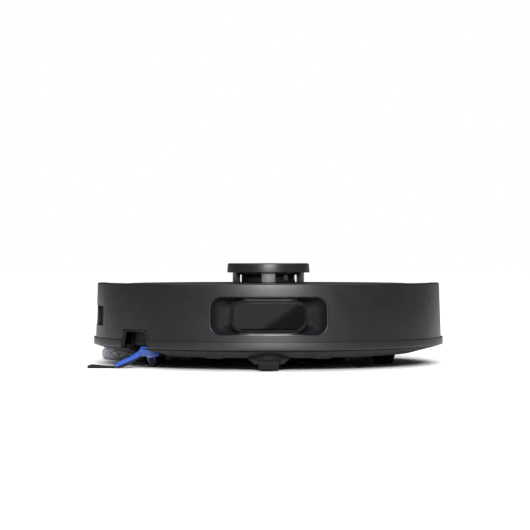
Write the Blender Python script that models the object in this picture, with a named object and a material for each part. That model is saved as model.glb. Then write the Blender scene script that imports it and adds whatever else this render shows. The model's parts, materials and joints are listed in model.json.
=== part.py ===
"""Robot vacuum with a lidar turret, a sprung bumper, a side brush and two spinning mops.

Lengths and places are millimetres in this script; the helpers turn them into metres.
The robot's own axis is the Z axis, its front faces -Y, and the floor is Z = 0.
"""
import math

import bmesh
import bpy
from mathutils import Matrix, Vector

MM = 0.001
GAP = 0.3                     # clearance between pieces that nearly touch

# Whole body
HEIGHT = 104.0                # floor to the top of the turret cap
LIP_R = 181.0                 # widest radius, at the skirt round the lower edge
WALL_R_LOW = 178.9            # wall radius just above the skirt
WALL_R_TOP = 176.9            # wall radius at the top rim
SKIRT_Z0, SKIRT_Z1 = 21.0, 28.5
FRONT_RIM_Z, REAR_RIM_Z = 84.1, 82.3
BASE_Z, BASE_SKIN = 12.5, 4.0   # underside height and floor thickness
BASE_R_FLAT, BASE_R_EDGE = 149.0, 176.5
DECK_R, DECK_Z0, DECK_Z1 = 171.0, 79.4, 81.9
COVER_R, COVER_Z = 147.0, 82.3
CONTACT_FACE_Y = 177.4        # flat outer face of the charging contacts

# Bumper
BUMPER_TRAVEL = 3.0
WINDOW_HALF, WINDOW_Z0, WINDOW_Z1, WINDOW_CORNER = 56.0, 35.6, 71.3, 10.4
CUT_Y0, CUT_Y1 = -190.0, -150.0  # reach of the cutters that open the front of the bumper
GLASS_HALF, GLASS_Z0, GLASS_Z1, GLASS_CORNER = 32.8, 42.2, 66.8, 7.0
SIDE_WINDOW_Z0, SIDE_WINDOW_Z1 = 41.0, 61.0
SIDE_WINDOW_START, SIDE_WINDOW_SWEEP = 183.0, 18.0  # degrees from +X
NOTCH_ANGLES = (216.5, 230.0)   # where the side brush opening breaks the skirt, degrees from +X

# Lidar turret
CAP_R, CAP_Z0 = 43.0, 94.3
NECK_R_OUT, NECK_R_IN, NECK_Z = 37.8, 31.0, 83.2
POST_R_OUT, POST_R_IN, POST_WIDTH, POST_COUNT = 37.4, 33.0, 13.9, 5
POST_Z = 84.6                 # foot of the posts, clear of the neck ring by the travel of the cap
ROTOR_R, ROTOR_Z0, ROTOR_Z1 = 28.0, 84.0, 93.0
ROTOR_PULLEY_R, MOTOR_PULLEY_R, LIDAR_MOTOR_X = 24.0, 5.0, 46.0

# Wheels and caster
WHEEL_X, WHEEL_Y, WHEEL_R, TYRE_WIDTH, HUB_R = 119.0, -6.0, 33.0, 21.4, 27.0
ARM_PIVOT_Y, ARM_PIVOT_Z = -36.0, 40.0
CASTER_Y, CASTER_TRAIL, ROLLER_R, ROLLER_WIDTH = -143.0, 7.0, 9.8, 20.0

# Brushes
MAIN_BRUSH_Y, MAIN_BRUSH_Z, MAIN_BRUSH_R, MAIN_BRUSH_HALF = -27.0, 21.0, 18.0, 80.0
SIDE_BRUSH_X, SIDE_BRUSH_Y, SIDE_HUB_R = -117.0, -108.0, 10.4
SIDE_ARM_ANGLES = (167.7, 88.0)

# Mops
MOP_R, MOP_PLATE_R, MOP_Z = 66.0, 60.0, 12.4
MOP_Y, MOP_HOME_X, MOP_OUT_X = 92.0, 72.0, 115.0
MOP_WELL_R = 68.5
MOP_HUB_Z = 21.2
MOP_GEARBOX_R = 20.0
MOP_GEARBOX_TOP = {"right": 38.5, "left": 44.0}  # the right one carries its arm on top

# Buttons: x, y, radius and top height
BUTTONS = {"power_button": (0.0, -52.0, 3.85, 85.0), "dock_button": (21.5, -48.5, 4.4, 84.2)}

# Dust box and fan
BOX_HALF_X, BOX_Y0, BOX_Y1, BOX_Z0, BOX_Z1 = 62.0, -124.0, -66.0, 24.0, 74.0
BOX_WALL, BOX_CORNER = 2.0, 6.0
PORT_HALF, PORT_Z0, PORT_Z1 = 24.0, 32.0, 42.0  # the air way from the main brush to the dust box
FAN_X, FAN_Y, FAN_R, FAN_Z0, FAN_Z1 = 112.0, -88.0, 27.0, 26.0, 58.0
FAN_WALL, FAN_EYE_R, BLADE_R, BLADE_COUNT = 2.5, 12.0, 21.5, 9

RING_STEPS = 60               # columns in a full turn of the large rings
SKIRT_STEPS = 80              # and of the skirt, which sets the outer size


# ---------------------------------------------------------------- helpers
def clear_scene():
    """Remove every object that the file starts with."""
    for obj in list(bpy.data.objects):
        bpy.data.objects.remove(obj, do_unlink=True)


def finish(name, color, roughness, metallic=0.0):
    """Return the Principled material called name, made on first use."""
    mat = bpy.data.materials.get(name)
    if mat is None:
        mat = bpy.data.materials.new(name)
        mat.use_nodes = True
        shader = mat.node_tree.nodes["Principled BSDF"]
        shader.inputs["Base Color"].default_value = (*color, 1.0)
        shader.inputs["Roughness"].default_value = roughness
        shader.inputs["Metallic"].default_value = metallic
        mat.diffuse_color = (*color, 1.0)
    return mat


def graphite():
    return finish("graphite_shell", (0.045, 0.046, 0.048), 0.45)


def dark_base():
    return finish("dark_base", (0.018, 0.018, 0.02), 0.55)


def inner_grey():
    return finish("inner_grey", (0.16, 0.165, 0.17), 0.6)


def black_gloss():
    return finish("black_gloss", (0.006, 0.006, 0.007), 0.08)


def tyre_rubber():
    return finish("tyre_rubber", (0.02, 0.02, 0.021), 0.8)


def brush_blue():
    return finish("brush_blue", (0.03, 0.1, 0.45), 0.45)


def bristle_black():
    return finish("bristle_black", (0.012, 0.012, 0.013), 0.6)


def mop_blue():
    return finish("mop_blue", (0.07, 0.08, 0.12), 0.5)


def mop_fibre():
    return finish("mop_fibre", (0.5, 0.51, 0.53), 0.95)


def contact_metal():
    return finish("contact_metal", (0.75, 0.72, 0.66), 0.25, 1.0)


def board_green():
    return finish("board_green", (0.02, 0.14, 0.06), 0.5)


def smoked_clear():
    return finish("smoked_clear", (0.1, 0.11, 0.12), 0.15)


def filter_white():
    return finish("filter_white", (0.8, 0.8, 0.76), 0.9)


def circle(cx, cy, radius, steps, start=0.0, sweep=360.0):
    """Points of a circle, or of an arc that includes both its ends."""
    count = steps if sweep >= 360.0 else steps + 1
    points = []
    for i in range(count):
        a = math.radians(start + sweep * i / steps)
        points.append((cx + radius * math.cos(a), cy + radius * math.sin(a)))
    return points


def rounded_box(x0, x1, y0, y1, radius, steps=3):
    """Outline of a rectangle with round corners, anticlockwise."""
    corners = ((x1 - radius, y1 - radius, 0), (x0 + radius, y1 - radius, 90),
               (x0 + radius, y0 + radius, 180), (x1 - radius, y0 + radius, 270))
    outline = []
    for cx, cy, start in corners:
        outline += circle(cx, cy, radius, steps, start, 90.0)
    return outline


def belt_outline(x0, r0, x1, r1, y=0.0, steps=10):
    """Outline of a belt round a circle at x0 and a smaller one at x1, both at the same y."""
    lean = math.degrees(math.acos((r0 - r1) / (x1 - x0)))
    outer = circle(x0, y, r0, 2 * steps, lean, 360.0 - 2 * lean)
    return outer + circle(x1, y, r1, steps, -lean, 2 * lean)


def turned(profile, centre=(0.0, 0.0), steps=32, start=0.0, sweep=360.0):
    """Sweep a closed (radius, z) outline round a vertical axis."""
    bm = bmesh.new()
    whole = sweep >= 360.0
    columns = []
    for i in range(steps if whole else steps + 1):
        a = math.radians(start + sweep * i / steps)
        columns.append([bm.verts.new((centre[0] + r * math.cos(a), centre[1] + r * math.sin(a), z))
                        for r, z in profile])
    count = len(profile)
    for i in range(steps):
        here, there = columns[i], columns[(i + 1) % len(columns)]
        for k in range(count):
            after = (k + 1) % count
            if profile[k][0] > 0 or profile[after][0] > 0:
                bm.faces.new((here[k], there[k], there[after], here[after]))
    if not whole:
        bm.faces.new(columns[0])
        bm.faces.new(list(reversed(columns[-1])))
    bmesh.ops.remove_doubles(bm, verts=bm.verts, dist=0.001)
    return bm


def prism(outline, low, high, axis="Z"):
    """Extrude an outline from low to high along Z, or along Y or X for outlines in XZ or YZ."""
    turn = {"Z": lambda u, v, w: (u, v, w),
            "Y": lambda u, v, w: (u, w, v),
            "X": lambda u, v, w: (w, u, v)}
    bm = bmesh.new()
    ends = [[bm.verts.new(turn[axis](u, v, w)) for u, v in outline] for w in (low, high)]
    bm.faces.new(ends[0])
    bm.faces.new(ends[1])
    for i in range(len(outline)):
        k = (i + 1) % len(outline)
        bm.faces.new((ends[0][i], ends[0][k], ends[1][k], ends[1][i]))
    return bm


def box(x0, x1, y0, y1, z0, z1):
    return prism([(x0, y0), (x1, y0), (x1, y1), (x0, y1)], z0, z1)


def rod(cx, cy, radius, z0, z1, steps=20):
    """A round rod; its corners are turned off the axes so that a cut never meets a ring's own edge."""
    return prism(circle(cx, cy, radius, steps, start=7.0), z0, z1)


def bar(start, end, start_size, end_size):
    """A straight tapered bar; each size is its width across and its height."""
    along = Vector(end) - Vector(start)
    across = Vector((-along.y, along.x, 0.0)).normalized()
    bm = bmesh.new()
    rings = []
    for point, (width, height) in ((start, start_size), (end, end_size)):
        rings.append([bm.verts.new(Vector(point) + across * u * width / 2 + Vector((0, 0, v * height / 2)))
                      for u, v in ((-1, -1), (1, -1), (1, 1), (-1, 1))])
    bm.faces.new(rings[0])
    bm.faces.new(rings[1])
    for i in range(4):
        k = (i + 1) % 4
        bm.faces.new((rings[0][i], rings[0][k], rings[1][k], rings[1][i]))
    return bm


def lay_along_x(bm, centre):
    """Turn a shape made round the Z axis so that its axis lies along X through centre."""
    bmesh.ops.transform(bm, matrix=Matrix.Rotation(math.radians(90), 4, "Y"), verts=bm.verts)
    bmesh.ops.translate(bm, vec=Vector(centre), verts=bm.verts)
    return bm


def place(bm, name, mat, origin=(0.0, 0.0, 0.0), smooth=True):
    """Make the object: its origin is at origin, and its shape stays where it was drawn."""
    bmesh.ops.recalc_face_normals(bm, faces=bm.faces)
    bmesh.ops.translate(bm, vec=-Vector(origin), verts=bm.verts)
    bmesh.ops.scale(bm, vec=(MM, MM, MM), verts=bm.verts)
    mesh = bpy.data.meshes.new(name)
    bm.to_mesh(mesh)
    bm.free()
    if smooth:
        mesh.shade_smooth()
        mesh.set_sharp_from_angle(angle=math.radians(35))
    obj = bpy.data.objects.new(name, mesh)
    obj.location = Vector(origin) * MM
    mesh.materials.append(mat)
    bpy.context.collection.objects.link(obj)
    return obj


def shape_with(obj, bm, operation="DIFFERENCE"):
    """Cut bm out of obj, add it to obj, or keep what they share."""
    tool = place(bm, "tool_" + obj.name, obj.data.materials[0], smooth=False)
    tool.hide_render = True
    tool.display_type = "WIRE"
    step = obj.modifiers.new(tool.name, "BOOLEAN")
    step.operation = operation
    step.solver = "EXACT"
    step.object = tool
    return obj


# ---------------------------------------------------------------- shells
def side_brush_notch():
    """The bevelled opening in the lower edge of the bumper, over the side brush."""
    outline = [(-144.0, 15.0), (-115.0, 15.0), (-122.0, 36.5), (-139.0, 36.5)]
    return prism(outline, -165.0, -88.0, "Y")


def make_base_chassis():
    edge = SKIRT_Z0 - GAP
    floor = BASE_Z + BASE_SKIN
    profile = [(0, BASE_Z), (BASE_R_FLAT, BASE_Z), (BASE_R_EDGE, edge - 1.0), (BASE_R_EDGE, edge),
               (170.5, edge), (170.5, 24.0), (167.0, 24.0), (149.5, floor), (0, floor)]
    base = place(turned(profile, steps=RING_STEPS), "base_chassis", dark_base())
    for side in (-1, 1):
        low, high = sorted((side * 97.0, side * 134.0))
        shape_with(base, box(low, high, -50.5, 32.0, 0, 40))
    shape_with(base, box(-MAIN_BRUSH_HALF - 2, MAIN_BRUSH_HALF + 2, -48.0, -6.0, 0, 40))
    shape_with(base, rod(0, CASTER_Y, 21.4, 0, 40, 28))
    shape_with(base, rod(SIDE_BRUSH_X, SIDE_BRUSH_Y, 20.0, 0, 40, 24))
    shape_with(base, rod(MOP_HOME_X, MOP_Y, MOP_WELL_R, 0, 40, 40))
    well = circle(-MOP_OUT_X, MOP_Y, MOP_WELL_R, 20, 90, 180)
    well += circle(-MOP_HOME_X, MOP_Y, MOP_WELL_R, 20, 270, 180)
    shape_with(base, prism(well, 0, 40))


def bumper_ends():
    """Start angle and sweep that leave the bumper its travel before it meets the rear shell."""
    trim = math.degrees(math.asin((BUMPER_TRAVEL + GAP + 0.2) / WALL_R_LOW))
    return 180.0 + trim, 180.0 - 2 * trim


def skirt_profile():
    inner = WALL_R_LOW - 1.0
    return [(inner, SKIRT_Z0), (LIP_R - 0.8, SKIRT_Z0), (LIP_R, SKIRT_Z0 + 0.9), (LIP_R, SKIRT_Z1 - 0.7),
            (LIP_R - 0.4, SKIRT_Z1), (inner, SKIRT_Z1)]


def make_bumper():
    start, sweep = bumper_ends()
    wall_z = SKIRT_Z1 + GAP
    top = FRONT_RIM_Z
    profile = [(WALL_R_LOW - 2.9, wall_z), (WALL_R_LOW, wall_z), (WALL_R_TOP, top - 1.1),
               (WALL_R_TOP - 0.5, top - 0.3), (WALL_R_TOP - 1.5, top), (167.0, top),
               (167.0, top - 1.7), (174.0, top - 1.7), (174.0, top - 3.1)]
    wall = turned(profile, steps=RING_STEPS // 2, start=start, sweep=sweep)
    shell = place(wall, "bumper_shell", graphite())
    window = rounded_box(-WINDOW_HALF, WINDOW_HALF, WINDOW_Z0, WINDOW_Z1, WINDOW_CORNER)
    shape_with(shell, prism(window, CUT_Y0, CUT_Y1, "Y"))
    shape_with(shell, side_brush_notch())
    side = [(168, SIDE_WINDOW_Z0), (190, SIDE_WINDOW_Z0), (190, SIDE_WINDOW_Z1), (168, SIDE_WINDOW_Z1)]
    shape_with(shell, turned(side, steps=8, start=SIDE_WINDOW_START, sweep=SIDE_WINDOW_SWEEP))
    stretches = (("bumper_skirt_right", start, NOTCH_ANGLES[0]),
                 ("bumper_skirt", NOTCH_ANGLES[1], start + sweep))
    for name, low, high in stretches:
        steps = round((high - low) * SKIRT_STEPS / 360)
        place(turned(skirt_profile(), steps=steps, start=low, sweep=high - low), name, graphite())


def curved_panel(r_in, r_out, z0, z1, start, sweep, steps=12):
    return turned([(r_in, z0), (r_out, z0), (r_out, z1), (r_in, z1)], steps=steps, start=start, sweep=sweep)


def make_bumper_window():
    dish = place(curved_panel(168.5, 172.0, 30, 78, 248, 44), "window_bezel", graphite())
    outline = rounded_box(-WINDOW_HALF + 0.5, WINDOW_HALF - 0.5,
                          WINDOW_Z0 + 0.4, WINDOW_Z1 - 0.4, WINDOW_CORNER)
    shape_with(dish, prism(outline, CUT_Y0, CUT_Y1, "Y"), "INTERSECT")
    hole = rounded_box(-GLASS_HALF - 0.5, GLASS_HALF + 0.5, GLASS_Z0 - 0.5, GLASS_Z1 + 0.5,
                       GLASS_CORNER + 0.5)
    shape_with(dish, prism(hole, CUT_Y0, CUT_Y1, "Y"))
    glass = place(curved_panel(170.4, 173.0, 36, 72, 256, 28, 8), "sensor_glass", black_gloss())
    outline = rounded_box(-GLASS_HALF, GLASS_HALF, GLASS_Z0, GLASS_Z1, GLASS_CORNER)
    shape_with(glass, prism(outline, CUT_Y0, CUT_Y1, "Y"), "INTERSECT")
    place(box(-27, 27, -165.5, -157, 46, 63), "sensor_module", dark_base(), smooth=False)
    pane = curved_panel(174.2, 176.7, SIDE_WINDOW_Z0 + 0.6, SIDE_WINDOW_Z1 - 0.6,
                        SIDE_WINDOW_START + 0.5, SIDE_WINDOW_SWEEP - 1.0, 6)
    place(pane, "side_sensor_window", black_gloss())


def make_rear():
    wall_z, top = SKIRT_Z1 + GAP, REAR_RIM_Z
    profile = [(WALL_R_LOW - 2.9, wall_z), (WALL_R_LOW, wall_z), (WALL_R_TOP, top - 1.0),
               (WALL_R_TOP - 0.5, top - 0.3), (WALL_R_TOP - 1.5, top), (DECK_R + GAP, top),
               (DECK_R + GAP, top - 2.5), (174.0, top - 3.5)]
    shell = place(turned(profile, steps=RING_STEPS // 2, sweep=180), "rear_shell", graphite())
    place(turned(skirt_profile(), steps=RING_STEPS // 2, sweep=180), "rear_skirt", graphite())
    for side, label in ((-1, "right"), (1, "left")):
        x0, x1 = sorted((side * 20.0, side * 36.0))
        shape_with(shell, box(x0 - 0.5, x1 + 0.5, 168, 190, 33.5, 44.5))
        contact = box(x0, x1, 171.5, CONTACT_FACE_Y, 34, 44)
        place(contact, "charge_contact_" + label, contact_metal(), smooth=False)


def make_top():
    hole_r = NECK_R_OUT + 0.6
    ring = [(hole_r, DECK_Z0), (DECK_R, DECK_Z0), (DECK_R, DECK_Z1), (hole_r, DECK_Z1)]
    deck = place(turned(ring, steps=RING_STEPS), "top_deck", graphite())
    shape_with(deck, box(-BOX_HALF_X - 4, BOX_HALF_X + 4, BOX_Y0 - 4, BOX_Y1 + 2.5, 70, 90))
    cover = [(46.0, COVER_Z), (COVER_R, COVER_Z), (COVER_R, COVER_Z + 0.4), (COVER_R - 0.8, COVER_Z + 0.9),
             (70.0, COVER_Z + 1.5), (46.0, COVER_Z + 1.6)]
    cover = place(turned(cover, steps=RING_STEPS), "top_cover", graphite())
    for name, (x, y, radius, top) in BUTTONS.items():
        shape_with(deck, rod(x, y, radius + GAP, 70, 90))
        shape_with(cover, rod(x, y, radius + GAP, 70, 90))
        stem = [(0, 77.5), (radius - 0.6, 77.5), (radius, 78.0), (radius, top - 1.0),
                (radius * 0.6, top), (0, top)]
        place(turned(stem, (x, y), 20), name, inner_grey(), (x, y, top))


# ---------------------------------------------------------------- turret
def make_turret():
    base = place(prism(belt_outline(0, NECK_R_OUT, LIDAR_MOTOR_X, 11.5), 70, 79), "lidar_base", graphite())
    shape_with(base, rod(0, 0, NECK_R_OUT - 0.1, 76, NECK_Z, 36), "UNION")
    shape_with(base, prism(belt_outline(0, NECK_R_IN, LIDAR_MOTOR_X, 8.5), 72, 82))
    shape_with(base, rod(0, 0, NECK_R_IN - 0.5, 75, 90, 36))
    shape_with(base, rod(LIDAR_MOTOR_X, 0, 2.2, 60, 75, 10))

    profile = [(0, CAP_Z0), (CAP_R - 0.9, CAP_Z0), (CAP_R, CAP_Z0 + 0.9), (CAP_R - 0.6, HEIGHT - 1.4),
               (CAP_R - 1.1, HEIGHT - 0.4), (CAP_R - 2.2, HEIGHT), (0, HEIGHT)]
    cap = place(turned(profile, steps=40), "lidar_cap", graphite())
    half = math.degrees(math.asin(POST_WIDTH / 2 / POST_R_OUT))
    for i in range(POST_COUNT):
        front = 270.0 + 360.0 * i / POST_COUNT
        post = [(POST_R_IN, POST_Z), (POST_R_OUT, POST_Z),
                (POST_R_OUT, CAP_Z0 + 2), (POST_R_IN, CAP_Z0 + 2)]
        shape_with(cap, turned(post, steps=3, start=front - half, sweep=2 * half), "UNION")

    shaft_z = 73.5
    profile = [(0, shaft_z), (ROTOR_PULLEY_R, shaft_z), (ROTOR_PULLEY_R, 77.5),
               (12, 78.5), (12, 82.5), (20, ROTOR_Z0), (ROTOR_R - 0.6, ROTOR_Z0),
               (ROTOR_R, ROTOR_Z0 + 0.6), (ROTOR_R, ROTOR_Z1 - 0.6),
               (ROTOR_R - 0.6, ROTOR_Z1), (0, ROTOR_Z1)]
    place(turned(profile, steps=28), "lidar_rotor", dark_base())
    lens = curved_panel(ROTOR_R + GAP, ROTOR_R + 1.6, 86.5, 91.5, 323, 12, 3)
    place(lens, "lidar_lens", black_gloss())

    profile = [(0, 70.8), (1.5, 70.8), (1.5, 73.2),
               (MOTOR_PULLEY_R, 73.5), (MOTOR_PULLEY_R, 77.5), (0, 77.5)]
    place(turned(profile, (LIDAR_MOTOR_X, 0), 16), "lidar_pulley", inner_grey(), (LIDAR_MOTOR_X, 0, 75))
    place(rod(LIDAR_MOTOR_X, 0, 11, 54, 69.7), "lidar_motor", contact_metal())
    outer = belt_outline(0, ROTOR_PULLEY_R + 1.4, LIDAR_MOTOR_X, MOTOR_PULLEY_R + 1.4)
    inner = belt_outline(0, ROTOR_PULLEY_R + 0.4, LIDAR_MOTOR_X, MOTOR_PULLEY_R + 0.4)
    belt = place(prism(outer, 74.3, 76.7), "lidar_belt", tyre_rubber())
    shape_with(belt, prism(inner, 70, 80))


# ---------------------------------------------------------------- running gear
def flat_bottom_radius(radius, steps):
    """Corner radius of a polygon wheel whose flats touch the circle of the given radius."""
    return radius / math.cos(math.pi / steps)


def make_wheels():
    steps = 28
    half = TYRE_WIDTH / 2
    outer = flat_bottom_radius(WHEEL_R, steps)
    for side, label in ((-1, "right"), (1, "left")):
        centre = (side * WHEEL_X, WHEEL_Y, WHEEL_R)
        profile = [(HUB_R + GAP, -half), (outer - 2.5, -half), (outer, -half + 2.5), (outer, half - 2.5),
                   (outer - 2.5, half), (HUB_R + GAP, half)]
        turn = 180.0 / steps
        tyre = lay_along_x(turned(profile, steps=steps, start=turn), centre)
        place(tyre, "tyre_" + label, tyre_rubber(), centre)
        profile = [(0, -half + 1.0), (HUB_R, -half + 1.0), (HUB_R, half - 0.6), (22.0, half - 0.6),
                   (18.0, half - 4.0), (8.0, half - 4.0), (7.0, half - 1.5), (0, half - 1.5)]
        profile = [(r, side * z) for r, z in profile]
        hub = lay_along_x(turned(profile, steps=steps, start=turn), centre)
        place(hub, "wheel_hub_" + label, dark_base(), centre)
        big, small = (WHEEL_Y, WHEEL_R, 13.0), (ARM_PIVOT_Y, ARM_PIVOT_Z, 8.0)
        reach = math.dist(big[:2], small[:2])
        lean = math.degrees(math.acos((big[2] - small[2]) / reach))
        facing = math.degrees(math.atan2(small[1] - big[1], small[0] - big[0]))
        outline = circle(big[0], big[1], big[2], 12, facing + lean, 360 - 2 * lean)
        outline += circle(small[0], small[1], small[2], 8, facing - lean, 2 * lean)
        x0, x1 = sorted((side * 99.0, side * 106.6))
        pivot = ((x0 + x1) / 2, ARM_PIVOT_Y, ARM_PIVOT_Z)
        place(prism(outline, x0, x1, "X"), "wheel_arm_" + label, inner_grey(), pivot)


def make_caster():
    profile = [(0, 6.6), (14.0, 6.6), (20.5, 12.0), (20.5, 21.5), (0, 21.5)]
    fork = place(turned(profile, (0, CASTER_Y), 28), "caster_fork", dark_base(), (0, CASTER_Y, 12))
    wheel_y = CASTER_Y - CASTER_TRAIL
    half = ROLLER_WIDTH / 2
    reach = ROLLER_R + 0.8
    shape_with(fork, box(-half - 0.6, half + 0.6, wheel_y - reach, wheel_y + reach, 0, 20.3))
    steps = 20
    outer = flat_bottom_radius(ROLLER_R, steps)
    profile = [(0, -half), (outer - 1.4, -half), (outer - 0.5, -half * 0.6), (outer, -half * 0.25),
               (outer, half * 0.25), (outer - 0.5, half * 0.6), (outer - 1.4, half), (0, half)]
    centre = (0, wheel_y, ROLLER_R)
    roller = lay_along_x(turned(profile, steps=steps, start=180.0 / steps), centre)
    place(roller, "caster_roller", inner_grey(), centre)


def make_main_brush():
    fins = 6
    outline = []
    for i in range(fins):
        for turn, radius in ((0, MAIN_BRUSH_R), (5, MAIN_BRUSH_R), (14, 12.0), (46, 12.0)):
            a = math.radians(360.0 * i / fins + turn)
            outline.append((MAIN_BRUSH_Y + radius * math.cos(a), MAIN_BRUSH_Z + radius * math.sin(a)))
    axis = (0, MAIN_BRUSH_Y, MAIN_BRUSH_Z)
    brush = prism(outline, -MAIN_BRUSH_HALF + 1, MAIN_BRUSH_HALF - 1, "X")
    place(brush, "main_brush", tyre_rubber(), axis)
    housing = [(-51, 16.8), (-51, 46), (-3, 46), (-3, 16.8), (MAIN_BRUSH_Y + 20.9, 16.8)]
    housing += circle(MAIN_BRUSH_Y, MAIN_BRUSH_Z, 20.8, 14, 0, 180) + [(MAIN_BRUSH_Y - 20.9, 16.8)]
    housing = place(prism(housing, -84, 84, "X"), "brush_housing", inner_grey())
    shape_with(housing, box(-PORT_HALF, PORT_HALF, -60, -32, PORT_Z0, PORT_Z1))
    duct = box(-PORT_HALF - 3, PORT_HALF + 3, -65.6, -51.4, PORT_Z0 - 3, PORT_Z1 + 3)
    duct = place(duct, "suction_duct", inner_grey(), smooth=False)
    shape_with(duct, box(-PORT_HALF, PORT_HALF, -70, -48, PORT_Z0, PORT_Z1))
    place(box(85, 94, -44, -10, 17, 44), "brush_gearbox", dark_base(), smooth=False)
    guard = place(prism(rounded_box(-90, 90, -54, 0, 8), 9.0, BASE_Z - GAP), "brush_guard", dark_base())
    shape_with(guard, prism(rounded_box(-81, 81, -46.5, -7.5, 3), 0, 20))


def make_side_brush():
    centre = (SIDE_BRUSH_X, SIDE_BRUSH_Y)
    profile = [(0, 12.7), (8.5, 12.7), (SIDE_HUB_R, 14.5), (SIDE_HUB_R, 22.7), (0, 22.7)]
    hub = place(turned(profile, centre, 24), "side_brush_hub", brush_blue(), (*centre, 0))
    tips = (("side_bristles_front", 64.0), ("side_bristles_rear", 60.0))
    for angle, (name, tip) in zip(SIDE_ARM_ANGLES, tips):
        a = math.radians(angle)

        def at(radius, z):
            return centre[0] + radius * math.cos(a), centre[1] + radius * math.sin(a), z

        shape_with(hub, bar(at(6.0, 16.2), at(33.0, 3.3), (8.5, 5.5), (6.0, 4.0)), "UNION")
        tuft = bar(at(33.4, 2.6), at(tip, 1.8), (3.0, 2.4), (9.0, 2.8))
        place(tuft, name, bristle_black(), (*centre, 0), smooth=False)
    profile = [(0, 11.5), (2.4, 11.5), (2.8, 12.4), (0, 12.4)]
    place(turned(profile, centre, 12), "side_brush_screw", contact_metal(), (*centre, 12))
    place(rod(*centre, 11, 23.4, 50), "side_brush_motor", contact_metal())


# ---------------------------------------------------------------- mops
def make_mops():
    for x, label in ((-MOP_OUT_X, "right"), (MOP_HOME_X, "left")):
        centre = (x, MOP_Y)
        pad = [(0, 0), (MOP_R - 3, 0), (MOP_R, 4), (MOP_R, 9), (MOP_R - 3, MOP_Z), (0, MOP_Z)]
        place(turned(pad, centre, 36), "mop_pad_" + label, mop_fibre(), (*centre, 0))
        plate = [(0, MOP_Z + GAP), (MOP_PLATE_R, MOP_Z + GAP), (MOP_PLATE_R, 15.5),
                 (MOP_PLATE_R - 4, 17.6), (12, 17.6), (12, MOP_HUB_Z), (0, MOP_HUB_Z)]
        place(turned(plate, centre, 32), "mop_plate_" + label, mop_blue(), (*centre, MOP_Z))
        top = MOP_GEARBOX_TOP[label]
        gearbox = rod(*centre, MOP_GEARBOX_R, MOP_HUB_Z + GAP, top)
        place(gearbox, "mop_gearbox_" + label, inner_grey(), (*centre, top))
    arm = rounded_box(-134, -74, MOP_Y - 12, MOP_Y + 12, 8)
    place(prism(arm, 42, 48), "mop_arm_right", inner_grey(), (-MOP_OUT_X, MOP_Y, 45))


# ---------------------------------------------------------------- inside
def make_dust_box():
    outline = rounded_box(-BOX_HALF_X, BOX_HALF_X, BOX_Y0, BOX_Y1, BOX_CORNER)
    dust = place(prism(outline, BOX_Z0, BOX_Z1), "dust_box", smoked_clear(), (0, BOX_Y1, BOX_Z1))
    inside = rounded_box(-BOX_HALF_X + BOX_WALL, BOX_HALF_X - BOX_WALL,
                         BOX_Y0 + BOX_WALL, BOX_Y1 - BOX_WALL, BOX_CORNER - BOX_WALL)
    shape_with(dust, prism(inside, BOX_Z0 + BOX_WALL, BOX_Z1 + 10))
    shape_with(dust, box(-PORT_HALF, PORT_HALF, BOX_Y1 - 6, BOX_Y1 + 6, PORT_Z0, PORT_Z1))
    shape_with(dust, box(BOX_HALF_X - 6, BOX_HALF_X + 6, -114, -76, 34, 66))
    pleats = box(BOX_HALF_X - 4, BOX_HALF_X + 2, -113.5, -76.5, 34.5, 65.5)
    place(pleats, "dust_filter", filter_white(), smooth=False)
    lid = prism(outline, BOX_Z1 + GAP, BOX_Z1 + 3)
    place(lid, "dust_box_lid", smoked_clear(), (0, BOX_Y1, BOX_Z1 + 1.5))


def make_fan():
    inside = FAN_R - FAN_WALL
    profile = [(0, FAN_Z0), (FAN_R, FAN_Z0), (FAN_R, FAN_Z1), (FAN_EYE_R, FAN_Z1),
               (FAN_EYE_R, FAN_Z1 - FAN_WALL), (inside, FAN_Z1 - FAN_WALL), (inside, FAN_Z0 + FAN_WALL),
               (0, FAN_Z0 + FAN_WALL)]
    place(turned(profile, (FAN_X, FAN_Y), 24), "fan_housing", inner_grey())
    outline = []
    for i in range(BLADE_COUNT):
        for turn, radius in ((0, BLADE_R), (4, BLADE_R), (26, 8.0), (36, 8.0)):
            a = math.radians(360.0 * i / BLADE_COUNT + turn)
            outline.append((FAN_X + radius * math.cos(a), FAN_Y + radius * math.sin(a)))
    place(prism(outline, 34, 50), "fan_impeller", dark_base(), (FAN_X, FAN_Y, 40), False)


def make_inside():
    place(prism(rounded_box(-80, 80, 18, 88, 5), 64, 65.6), "main_board", board_green())
    place(prism(rounded_box(-70, 70, 4, 50, 6), 30, 50), "battery_pack", dark_base())
    place(prism(rounded_box(-60, 60, 100, 150, 8), 58, 78), "water_tank", smoked_clear())
    place(rod(90, 118, 9, 58, 74), "water_pump", inner_grey())
    place(rod(-105, 45, 14, 56, 74), "speaker", dark_base())
    for x, label in ((-52, "right"), (52, "left")):
        outline = rounded_box(x - 8, x + 8, -132, -124, 2)
        place(prism(outline, 11.2, BASE_Z - GAP), "cliff_window_" + label, black_gloss())


def main():
    clear_scene()
    make_base_chassis()
    make_bumper()
    make_bumper_window()
    make_rear()
    make_top()
    make_turret()
    make_wheels()
    make_caster()
    make_main_brush()
    make_side_brush()
    make_mops()
    make_dust_box()
    make_fan()
    make_inside()


main()
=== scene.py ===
# %% [markdown]
# # A robot vacuum, finished piece by piece
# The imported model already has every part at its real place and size. This lesson dresses it:
# each visible shell is made again with a fine surface, small things that repeat are grown with
# Geometry Nodes, and every piece gets a material made of nodes. Lengths below are millimetres,
# and the helper that makes a piece turns them into metres.

# %% Load the frame
import json
import math
import random

import bmesh
import bpy
from mathutils import Matrix, Vector


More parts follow.
